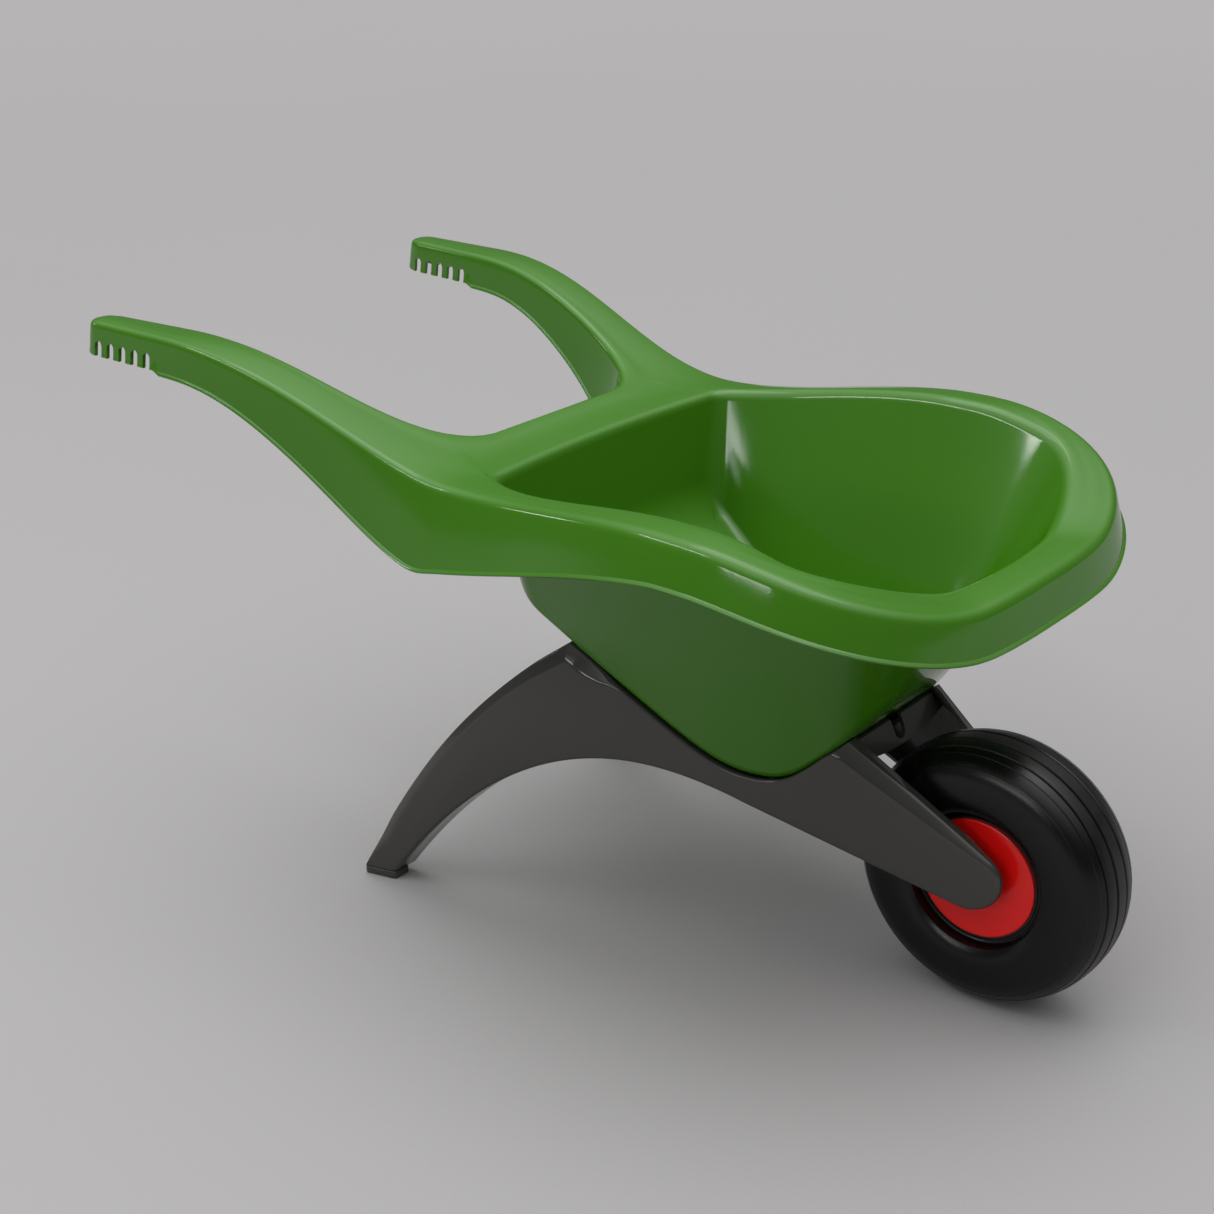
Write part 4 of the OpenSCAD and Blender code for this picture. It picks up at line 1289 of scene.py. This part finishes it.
    def build(self, place: Place, finishes: Finishes) -> None:
        """Builds the tray with its slots and bosses, and dresses it.

        Args:
            place: Where the axle lies.
            finishes: The object's finishes.
        """
        piece = self.skin().build("tray_shell", place, sharp=50.0)
        reach = 2 * self.grip_w
        start = place.metres([[self.slot_first - self.handle_reach, self.grip_half - self.grip_w / 2,
                               self.grip_h - self.slot_top - self.slot_w / 2]])[0]
        slots = slot_recipe(finishes.tray_green).bake("slot_bars", {
            "Count": self.slot_count, "Pitch": self.slot_pitch / 1000, "Width": self.slot_w / 1000,
            "Drop": 0.03, "Reach": reach / 1000, "Start": tuple(start)})
        cut = piece.modifiers.new("slots", "BOOLEAN")
        cut.object, cut.operation, cut.solver = slots, "DIFFERENCE", "EXACT"
        applied(piece)
        bpy.data.objects.remove(slots)
        finish_mesh(piece, 40.0, outward=False)
        settle(piece, Body.FRAME, "tray_green", finishes, "tray")
        bosses = Shell()
        for x, deep in self.screws:
            tilt = math.atan(-self.floor_bends(x)[1])
            axis = np.array([math.sin(tilt), 0.0, math.cos(tilt)])
            seat = np.array([x, self.web_inner(x) - self.screw_inset, self.floor_under(x)])
            flat = np.cross([0.0, 1.0, 0.0], axis)
            for side in Side:
                rings = []
                for r, up in ((self.boss_r + 1.5, 1.2), (self.boss_r + 0.3, -0.4),
                              (self.boss_r, -deep + 0.4), (self.boss_r - 0.4, -deep)):
                    rows = [seat + axis * up
                            + r * (math.cos(a) * flat + math.sin(a) * np.array([0.0, 1.0, 0.0]))
                            for a in (2 * math.pi * k / 40 for k in range(40))]
                    rings.append(bosses.ring([row * [1.0, side.value, 1.0] for row in rows]))
                for a, b in zip(rings, rings[1:]):
                    bosses.bridge(a, b)
                bosses.cap(rings[-1])
                bosses.cap(rings[0], True)
        settle(bosses.build("tray_bosses", place), Body.FRAME, "tray_green", finishes)


# ---------- side frames ----------
@dataclass
class Station:
    """One point of a side frame's outline."""

    at: np.ndarray
    lift: float = 0.0
    rounds: float = 2.8
    slide: np.ndarray | None = None


@dataclass
class SideFrame:
    """One channel-shaped side frame: foot, leg, arch, saddle under the tub, arm and fork end."""

    tray: Tray
    axle_h: float
    heel_reach: float = 444.0
    arch_h: float = 138.0
    fork_end_r: float = 21.0
    fork_gap_half: float = 35.0
    saddle_gap_half: float = 85.3
    foot_gap_half: float = 134.0
    toe_run: float = 26.5
    cap_h: float = 6.0
    sole_lip: float = 0.25
    sole_corner: float = 2.5
    peg_r: float = 3.0
    peg_top: float = 13.2
    seat_gap: float = 0.3
    web_lift: float = 2.0
    saddle_front_x: float = -82.0
    saddle_rear_x: float = -279.0
    leg_face_x: float = -235.0
    leg_top_face: float = 10.0
    corner_run: float = 11.5
    leg_face: float = 7.5
    arm_face: float = 11.0
    face_bulge: float = 1.6
    tip_turn: float = -27.0
    boss_r: float = 10.0
    boss_in: float = 26.1
    axle_r: float = 4.0
    brace_at: tuple[float, float] = (-300.0, 168.0)
    brace_r: float = 8.0
    socket_wall: float = 2.5
    socket_deep: float = 9.0

    def rest_h(self, x: float) -> float:
        """Returns the height of the saddle at x."""
        return self.tray.floor_under(x) - self.seat_gap

    def web_y(self, x: float, depth: float = 0.0) -> float:
        """Returns the y of the plane at a depth inside the web's outer face."""
        a = math.radians(self.tray.splay)
        return self.tray.fork_half - x * math.tan(a) - depth / math.cos(a)

    def open_y(self, x: float) -> float:
        """Returns the y of the flanges' inner edges at x."""
        if x < self.saddle_rear_x:
            return mix(self.saddle_gap_half, self.foot_gap_half,
                       (self.saddle_rear_x - x) / (self.heel_reach + self.saddle_rear_x))
        return mix(self.fork_gap_half, self.saddle_gap_half, max(-x, 0.0) / -self.saddle_rear_x)

    def upper(self) -> list[Station]:
        """Returns the stations from the fork's tip over the arm, saddle and leg's back to the heel."""
        rows = [Station(self.fork_point(mix(self.tip_turn, 54.0, i / 12)), rounds=mix(3.2, 4.2, i / 12))
                for i in range(13)]
        last = rows[-1].at
        peak = np.array([self.saddle_front_x, self.rest_h(self.saddle_front_x)])
        rows += [Station(mix(last, peak, i / 24), rounds=mix(4.2, self.arm_face, i / 24))
                 for i in range(1, 24)]
        front = np.array([self.saddle_front_x - self.corner_run,
                          self.rest_h(self.saddle_front_x - self.corner_run)])
        rows.append(Station(peak, 0.0, self.arm_face, self.slide(last - peak, front - peak)))
        for i in range(60):
            x = mix(front[0], self.saddle_rear_x + self.corner_run, i / 59)
            far = ease((self.leg_face_x - x) / 30)
            rows.append(Station(np.array([x, self.rest_h(x)]), self.web_lift * (1 - far),
                                mix(1.6, self.leg_top_face, far)))
        rows.append(Station(np.array([self.saddle_rear_x, self.rest_h(self.saddle_rear_x)]), 0.0,
                            self.leg_top_face))
        back = [[1 - self.heel_reach, self.cap_h], [25 - self.heel_reach, 57],
                [77.5 - self.heel_reach, 135.5],
                [134.5 - self.heel_reach, 194.5], [self.saddle_rear_x, self.rest_h(self.saddle_rear_x)]]
        for i in range(49):
            x = mix(self.saddle_rear_x - self.corner_run, back[0][0], i / 48)
            wide = mix(self.leg_top_face, self.leg_face, ease(i / 12))
            rows.append(Station(np.array([x, through(back, x)]), 0.0, mix(1.2, wide, ease((48 - i) / 5))))
        return rows

    @staticmethod
    def slide(arm: np.ndarray, saddle: np.ndarray) -> np.ndarray:
        """Returns how a face's corner moves along the saddle per unit of depth under the arm's edge."""
        a, b = unit(arm), unit(saddle)
        return b / abs(a[0] * b[1] - a[1] * b[0])

    def lower(self) -> list[Station]:
        """Returns the stations from the fork's tip under the arm and the arch to the toe."""
        arch, toe_x = self.arch_h, self.toe_run - self.heel_reach
        rows = [Station(self.fork_point(mix(self.tip_turn, -107.7, i / 12)), rounds=3.0) for i in range(13)]
        first = rows[-1].at
        rows += [Station(mix(first, np.array([-150.0, 124.5]), i / 34)) for i in range(1, 35)]
        middle, low = np.array([219 - self.heel_reach, arch]), np.array([254 - self.heel_reach, arch])
        rows += [Station(arc2([-150.0, 124.5], low, middle, i / 40)) for i in range(1, 41)]
        toe = np.array([toe_x, self.cap_h])
        rows += [Station(arc2(middle, [114 - self.heel_reach, arch], toe, i / 60)) for i in range(1, 61)]
        return rows

    def fork_point(self, degrees: float) -> np.ndarray:
        """Returns the point of the fork's round end at an angle."""
        a = math.radians(degrees)
        return np.array([4.0, self.axle_h + 7.5]) + self.fork_end_r * np.array([math.cos(a), math.sin(a)])

    def outline(self) -> tuple[list[Station], int]:
        """Joins the stations into one closed outline.

        Returns:
            The stations, and how many there are along each long side.
        """
        upper, lower = self.upper(), self.lower()
        heel, toe = upper[-1].at, lower[-1].at
        sole = [Station(mix(heel, toe, share), rounds=0.9) for share in self.columns()[1:-1]]
        return upper + sole + lower[:0:-1], len(upper)

    def columns(self) -> list[float]:
        """Returns the shares of the face's width at which its columns of points stand."""
        return [0.0, 0.04, 0.1, 0.18, 0.28, 0.4, 0.52, 0.64, 0.76, 0.88, 1.0]

    @staticmethod
    def edge_points(r: float) -> list[np.ndarray]:
        """Returns the section of the face's edge, as depth inside the outline and below the face.

        A narrow edge is a plain rounding; a wide one is a bevel with two roundings.
        """
        soft, fall = 2.4, 0.62 * r
        slope = unit(np.array([-r, fall]))
        a, b = np.array([r, 0.0]), np.array([0.0, fall])
        share = clamp((r - 4.0) / 2.5)
        rows = []
        for k in range(10):
            turn = math.pi / 2 * k / 9
            plain = np.array([r * (1 - math.sin(turn)), r * (1 - math.cos(turn))])
            wide = arc2(a + [soft, 0.0], a, a + slope * soft, k / 4) if k < 5 else \
                arc2(b - slope * soft * 0.7, b, b + [0.0, soft * 0.7], (k - 5) / 4)
            rows.append(mix(plain, wide, share))
        return rows

    def skin(self) -> Shell:
        """Builds the moulding's skin.

        Returns:
            The shell of the left-hand frame.
        """
        stations, along = self.outline()
        loop = np.array([s.at for s in stations])
        lift = np.array([s.lift for s in stations])
        ahead = np.roll(loop, -1, 0) - loop
        ahead /= np.linalg.norm(ahead, axis=1, keepdims=True)
        behind = np.roll(ahead, 1, 0)
        na, nb = (np.stack([-d[:, 1], d[:, 0]], 1) for d in (behind, ahead))
        miter = na + nb
        miter /= np.linalg.norm(miter, axis=1, keepdims=True)
        miter /= np.maximum(0.5, (miter * na).sum(1))[:, None]
        wall, shell = self.tray.frame_wall, Shell()
        edges = [self.edge_points(s.rounds) for s in stations]
        under = [max(wall, e[-1][1]) for e in edges]

        sliding = np.array([m if s.slide is None else s.slide for m, s in zip(miter, stations)])

        def ring(depth: Sequence[float], y: Callable[[float, int], float],
                 way: np.ndarray = miter) -> list[int]:
            """Adds a ring at a depth inside the outline."""
            rows = loop + way * np.asarray(depth)[:, None]
            return shell.ring([(p[0], y(p[0], i), p[1]) for i, p in enumerate(rows)])

        zero = np.zeros(len(loop))
        rings = [ring([e[k][0] - up for e, up in zip(edges, lift)],
                      lambda x, i, k=k: self.web_y(x) - edges[i][k][1], sliding) for k in range(10)]
        rings.append(ring(-lift, lambda x, i: self.web_y(x) - under[i] - 0.05))
        rings.append(ring(zero, lambda x, i: self.web_y(x) - under[i] - 0.25))
        rings.append(ring(zero, lambda x, i: self.open_y(x) + 0.8))
        rings.append(ring(zero + 0.25, lambda x, i: self.open_y(x) + 0.25))
        rings.append(ring(zero + 0.8, lambda x, i: self.open_y(x)))
        rings.append(ring(zero + wall - 0.8, lambda x, i: self.open_y(x)))
        rings.append(ring(zero + wall - 0.25, lambda x, i: self.open_y(x) + 0.25))
        rings.append(ring(zero + wall, lambda x, i: self.open_y(x) + 0.8))
        inner = [max(0.0, e[-1][1] + 1.0 - wall) for e in edges]
        for step in range(5):
            turn = math.pi / 2 * step / 4
            rings.append(ring([wall + (1.8 + 0.8 * deep) * (1 - math.cos(turn)) for deep in inner],
                              lambda x, i, c=math.sin(turn):
                              self.web_y(x, wall) - (1.8 + inner[i]) * (1 - c)))
        for a, b in zip(rings, rings[1:]):
            shell.bridge(a, b)
        self.face(shell, rings[0], along)
        shell.cap(rings[-1])
        return shell

    def face(self, shell: Shell, ring: Sequence[int], along: int) -> None:
        """Fills the outer face with rows of quads that bulge gently.

        Args:
            shell: The skin.
            ring: The face's edge, from the fork's tip over the top to the heel, the sole and back.
            along: How many points the upper side has.
        """
        columns = self.columns()
        inside = len(columns) - 2
        low = [ring[0]] + list(ring[:along + inside - 1:-1])
        previous = [ring[0]] * len(columns)
        for i in range(1, along):
            a, b = shell.points[ring[i]], shell.points[low[i]]
            rows = []
            for share in columns[1:-1]:
                p = a + (b - a) * share
                p[1] = self.web_y(p[0]) + self.bulge(p[0]) * math.sin(math.pi * share)
                rows.append(p)
            middle = shell.ring(rows) if i < along - 1 else list(ring[along:along + inside])
            current = [ring[i], *middle, low[i]]
            for k in range(len(columns) - 1):
                corners = [previous[k], previous[k + 1], current[k + 1], current[k]]
                kept = tuple(c for j, c in enumerate(corners) if c != corners[j - 1])
                if len(set(kept)) > 2:
                    shell.faces.append(kept)
            previous = current

    def bulge(self, x: float) -> float:
        """Returns how far the face stands out in its middle at x."""
        return self.face_bulge * ease((x + 430) / 90) * ease((-180 - x) / 90)

    def sole(self) -> Shell:
        """Builds the cap under the foot, with the peg that holds it.

        Returns:
            The shell of the left-hand cap.
        """
        shell = Shell()
        heel, toe = 1 - self.heel_reach, self.toe_run - self.heel_reach
        corners = np.array([(heel, self.foot_gap_half), (toe, self.foot_gap_half),
                            (toe, self.web_y(toe)), (heel, self.web_y(heel))])
        plan = []
        for i, at in enumerate(corners):
            ends = [at + unit(corners[j % 4] - at) * self.sole_corner for j in (i - 1, i + 1)]
            plan += [arc2(ends[0], at, ends[1], t / 5) for t in range(6)]
        plan = np.array(plan)
        top = self.cap_h - self.seat_gap
        profile = [(-0.2, top), (self.sole_lip, top - 0.3), (self.sole_lip, 1.0), (0.0, 0.25), (-0.6, 0.0)]
        rings = [shell.ring([(p[0] + n[0] * out, p[1] + n[1] * out, z) for p, n in zip(plan, outwards(plan))])
                 for out, z in profile]
        middle = np.array([(heel + toe) / 2,
                           (self.web_y((heel + toe) / 2, self.tray.frame_wall) + self.foot_gap_half) / 2])
        turns = [2 * math.pi * k / 24 for k in range(24)]
        peg = [shell.ring([(middle[0] + r * math.cos(a), middle[1] + r * math.sin(a), z) for a in turns])
               for r, z in ((self.peg_r, top - 1.0), (self.peg_r, self.peg_top - 0.6),
                            (self.peg_r - 0.6, self.peg_top))]
        for chain in (rings, peg):
            for a, b in zip(chain, chain[1:]):
                shell.bridge(a, b)
            shell.cap(chain[0])
            shell.cap(chain[-1], True)
        return shell

    def build(self, side: Side, place: Place, finishes: Finishes) -> None:
        """Builds one frame with its axle boss and brace socket, and dresses it.

        Args:
            side: Which of the two frames.
            place: Where the axle lies.
            finishes: The object's finishes.
        """
        piece = self.skin().build(f"{side.label()}_frame", place, side, sharp=48.0)
        settle(piece, Body.FRAME, "frame_charcoal", finishes, f"{side.label()}_side_frame")
        bosses = Shell()
        bosses.tube((0.0, self.axle_h), self.boss_r, self.axle_r + 0.03, self.boss_in,
                    self.tray.fork_half - 2.5)
        brace_end = self.tray.web_inner(self.brace_at[0] + self.brace_r) - self.seat_gap
        bosses.tube(self.brace_at, self.brace_r + self.socket_wall, self.brace_r + 0.03,
                    brace_end - self.socket_deep, brace_end + 2.0)
        settle(bosses.build(f"{side.label()}_frame_bosses", place, side), Body.FRAME,
               "frame_charcoal", finishes)
        settle(self.sole().build(f"{side.label()}_sole", place, side), Body.FRAME, "cap_black", finishes,
               f"{side.label()}_foot_cap")


# ---------- wheel ----------
@dataclass
class Wheel:
    """The wheel's outer parts: the tyre and the two red covers."""

    tyre_r: float = 93.5
    tyre_half: float = 32.9
    tyre_mid: float = 66.0
    square: float = 2.56
    bead_r: float = 44.0
    bead_y: float = 22.0
    wall: float = 6.0
    groove_deep: float = 1.4
    groove_half: float = 0.75
    grooves: tuple[float, ...] = (6.0, 17.0)
    shoulder_lines: tuple[float, ...] = (31.0, 52.0)
    cover_r: float = 42.6
    cover_half: float = 24.3
    bore_r: float = 8.0

    def tyre_point(self, degrees: float, inside: float = 0.0) -> tuple[float, float]:
        """Returns the radius and y of a point of the tyre's rounded-square section."""
        s, c = math.sin(math.radians(degrees)), math.cos(math.radians(degrees))
        return (self.tyre_mid
                + (self.tyre_r - self.tyre_mid - inside) * math.copysign(abs(s) ** (2 / self.square), s),
                (self.tyre_half - inside) * math.copysign(abs(c) ** (2 / self.square), c))

    def groove_cut(self, y: float) -> float:
        """Returns how deep the tread is cut at y."""
        near = min(abs(abs(y) - g) for g in self.grooves)
        return self.groove_deep * clamp((self.groove_half + 0.25 - near) / 0.5)

    def tyre_profile(self) -> list[tuple[float, float]]:
        """Returns the closed section of the tyre, as radius and y."""
        half: list[tuple[float, float]] = [
            (self.bead_r, self.bead_y - self.wall), (self.bead_r, self.bead_y - 0.4),
            (self.bead_r + 0.4, self.bead_y),
            (self.bead_r + 2.0, self.bead_y), (self.bead_r + 2.6, self.bead_y + 0.5),
            (self.bead_r + 3.2, self.bead_y + 0.6),
            (self.bead_r + 3.6, self.bead_y + 1.3), (self.bead_r + 4.0, self.bead_y + 3.0),
            (self.bead_r + 4.7, self.bead_y + 4.8)]
        degrees = -32.0
        while degrees < 89.5:
            r, y = self.tyre_point(degrees)
            line = min(abs(degrees - d) for d in self.shoulder_lines)
            raised = 0.28 * clamp(1.3 - line / 0.55)
            s, c = math.sin(math.radians(degrees)), math.cos(math.radians(degrees))
            half.append((r + raised * s - self.groove_cut(y), y + raised * c))
            fine = line < 2 or (degrees > 45 and min(abs(abs(y) - g) for g in self.grooves) < 1.6)
            degrees += 0.35 if fine else (1.6 if degrees > 45 else 2.4)
        half.append((self.tyre_r, 0.0))
        outer = half + [(r, -y) for r, y in half[-2::-1]]
        inner = [self.tyre_point(d, self.wall) for d in np.linspace(-24.0, 90.0, 22)]
        inner = [(r, max(y, 0.0)) for r, y in inner]
        under = [(r, -y) for r, y in inner] + inner[-2::-1]
        return outer + under + [outer[0]]

    def cover_profile(self) -> list[tuple[float, float]]:
        """Returns the section of the left-hand cover, as radius and y."""
        high, seat = self.cover_half, self.cover_half - 1.88
        rows = [(self.bore_r, seat), (self.bore_r, high - 0.3), (self.bore_r + 0.3, high)]
        for r, drop in ((13.2, 0.0), (13.8, 0.15), (14.2, 0.45), (17.6, 0.5), (18.2, 0.15), (18.8, 0.0),
                        (26.0, 0.05), (34.0, 0.0)):
            rows.append((r, high - drop))
        for i in range(8):
            a = math.pi / 2 * i / 7
            rows.append((self.cover_r - 1.5 + 1.5 * math.sin(a), high - 1.1 + 1.1 * math.cos(a)))
        rows.append((self.cover_r, seat))
        return rows + [(self.bore_r, seat)]

    def lathe(self, name: str, profile: Sequence[tuple[float, float]], around: int, mirror: Side,
              place: Place,
              material: bpy.types.Material) -> bpy.types.Object:
        """Turns a section about the axle.

        Args:
            name: The object's name.
            profile: Rows of radius and y, in millimetres.
            around: How many faces go round.
            mirror: RIGHT mirrors the section.
            place: Where the axle lies.
            material: What it is made of.

        Returns:
            The finished object.
        """
        rows = [(r / 1000, y / 1000 * mirror.value, 0.0) for r, y in profile]
        source = bpy.data.meshes.new(f"{name}_section")
        source.from_pydata(rows, [(i, i + 1) for i in range(len(rows) - 1)], [])
        made = revolve_recipe(material).bake(name, {
            "Around": around, "Points": len(rows),
            "Centre": (place.axle_x / 1000, 0.0, place.axle_h / 1000)}, source)
        return finish_mesh(made, 30.0)

    def build(self, place: Place, finishes: Finishes) -> None:
        """Builds the tyre and the covers, and dresses them.

        Args:
            place: Where the axle lies.
            finishes: The object's finishes.
        """
        tyre = self.lathe("tyre_skin", self.tyre_profile(), 180, Side.LEFT, place, finishes.tyre_black)
        settle(tyre, Body.WHEEL, "tyre_black", finishes, "tyre")
        for side in Side:
            cover = self.lathe(f"{side.label()}_cover_disc", self.cover_profile(), 160, side, place,
                               finishes.hub_red)
            settle(cover, Body.WHEEL, "hub_red", finishes, f"{side.label()}_hub_cover")


# ---------- carried-over nodes ----------
class KeptNodes:
    """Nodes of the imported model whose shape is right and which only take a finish."""

    def __init__(self, packed: dict) -> None:
        """Reads which slot each node takes.
        """
        self.nodes = packed["nodes"]
        self.slots = {row["node"]: row["material_slot"] for row in packed["record"]["subparts"]}

    def dress(self, finishes: Finishes) -> None:
        """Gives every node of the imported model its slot's material."""
        for name, piece in self.nodes.items():
            dress(piece, finishes.of(self.slots[name]))
            log.info("%s: takes %s", name, self.slots[name])


# ---------- studio ----------
@dataclass(frozen=True)
class SoftBox:
    """A rectangular soft light: its name, place, aim, width and height, and its power in watts."""

    name: str
    at: tuple[float, float, float]
    aim: tuple[float, float, float]
    size: tuple[float, float]
    power: float

    def build(self) -> None:
        """Adds the light."""
        lamp = bpy.data.lights.new(self.name, "AREA")
        lamp.shape, lamp.size, lamp.size_y, lamp.energy = "RECTANGLE", self.size[0], self.size[1], self.power
        piece = link(bpy.data.objects.new(self.name, lamp))
        piece.location = self.at
        piece.rotation_mode = "QUATERNION"
        piece.rotation_quaternion = (Vector(self.aim) - Vector(self.at)).to_track_quat("-Z", "Y")


@dataclass
class Studio:
    """Floor, light and camera."""

    floor_half: float = 30.0
    # painted shade near the middle and painted light far off, which even out the lamps' light on the floor
    floor_near: tuple[float, float, float] = (0.355, 0.348, 0.351)
    floor_far: tuple[float, float, float] = (0.445, 0.437, 0.44)
    tint: tuple[float, float, float] = (1.0, 0.995, 0.99)
    sky_low: float = 0.12
    sky_high: float = 1.85
    sky_power: float = 2.6
    lens: float = 61.51
    eye: tuple[float, float, float] = (0.5568, -1.1201, 0.7878)
    back: tuple[float, float, float] = (0.5744, -0.7236, 0.3826)
    boxes: tuple[SoftBox, ...] = (
        SoftBox("overhead", (0.0, 0.5, 4.2), (0.0, 0.0, 0.2), (4.0, 3.0), 50.0),
        SoftBox("key", (-1.1, -1.3, 1.8), (0.05, 0.0, 0.3), (1.1, 0.1), 5.0),
        SoftBox("side", (-1.95, -0.75, 1.05), (-0.1, 0.0, 0.2), (0.34, 0.08), 1.2),
        SoftBox("front", (0.0, -2.2, 0.85), (0.15, 0.0, 0.15), (1.0, 0.22), 5.0))

    def floor(self) -> None:
        """Builds the pale floor."""
        n, h = 24, self.floor_half
        rows = [(mix(-h, h, i / n), mix(-h, h, j / n), -0.0005) for i in range(n + 1) for j in range(n + 1)]
        faces = [(i * (n + 1) + j, (i + 1) * (n + 1) + j, (i + 1) * (n + 1) + j + 1, i * (n + 1) + j + 1)
                 for i in range(n) for j in range(n)]
        mesh = bpy.data.meshes.new("studio_floor")
        mesh.from_pydata(rows, [], faces)
        piece = link(bpy.data.objects.new("studio_floor", mesh))
        dress(piece, PaleFloor("studio_floor", self.floor_near, self.floor_far).material())

    def light(self) -> None:
        """Builds the world's even light and the soft boxes."""
        world = bpy.data.worlds.new("studio_sky")
        bpy.context.scene.world = world
        world.use_nodes = True
        g = Graph(world.node_tree)
        split = g.node("ShaderNodeSeparateXYZ", {}, {0: g.wire("ShaderNodeTexCoord", out="Object")})
        height = Wire(g, split.outputs[2]).above(0.0, 1.0) ** self.sky_power
        low, high = ((*(self.tint[i] * level for i in range(3)), 1.0)
                     for level in (self.sky_low, self.sky_high))
        sky = g.wire("ShaderNodeBackground", {}, {"Color": g.blend(height, low, high), "Strength": 1.0})
        g.node("ShaderNodeOutputWorld", {}, {"Surface": sky})
        for box in self.boxes:
            box.build()

    def camera(self, place: Place) -> None:
        """Builds the camera.

        Args:
            place: Where the axle lies, from which the camera's own place is measured.
        """
        lens = bpy.data.cameras.new("studio_camera")
        lens.lens, lens.sensor_width = self.lens, 36.0
        piece = link(bpy.data.objects.new("studio_camera", lens))
        back = Vector(self.back).normalized()
        right = Vector((0.0, 0.0, 1.0)).cross(back).normalized()
        up = back.cross(right)
        turn = Matrix((right, up, back)).transposed()
        piece.rotation_mode = "QUATERNION"
        piece.rotation_quaternion = turn.to_quaternion()
        piece.location = (self.eye[0] + place.axle_x / 1000, self.eye[1], self.eye[2])
        bpy.context.scene.camera = piece

    def build(self, place: Place) -> None:
        """Builds the floor, the light and the camera, and sets how colours are shown.

        Args:
            place: Where the axle lies.
        """
        self.floor()
        self.light()
        self.camera(place)
        bpy.context.scene.view_settings.view_transform = "Standard"
        log.info("studio: floor, light and camera")


def main() -> None:
    """Builds the whole scene in order."""
    logging.basicConfig(level=logging.INFO, format="%(name)s: %(message)s")
    place = Place.from_frame(frame)
    Studio().build(place)
    finishes = Finishes(place)
    KeptNodes(frame).dress(finishes)
    tray = Tray()
    tray.build(place, finishes)
    for side in Side:
        SideFrame(tray, place.axle_h).build(side, place, finishes)
    Wheel().build(place, finishes)


if __name__ == "__main__":
    main()
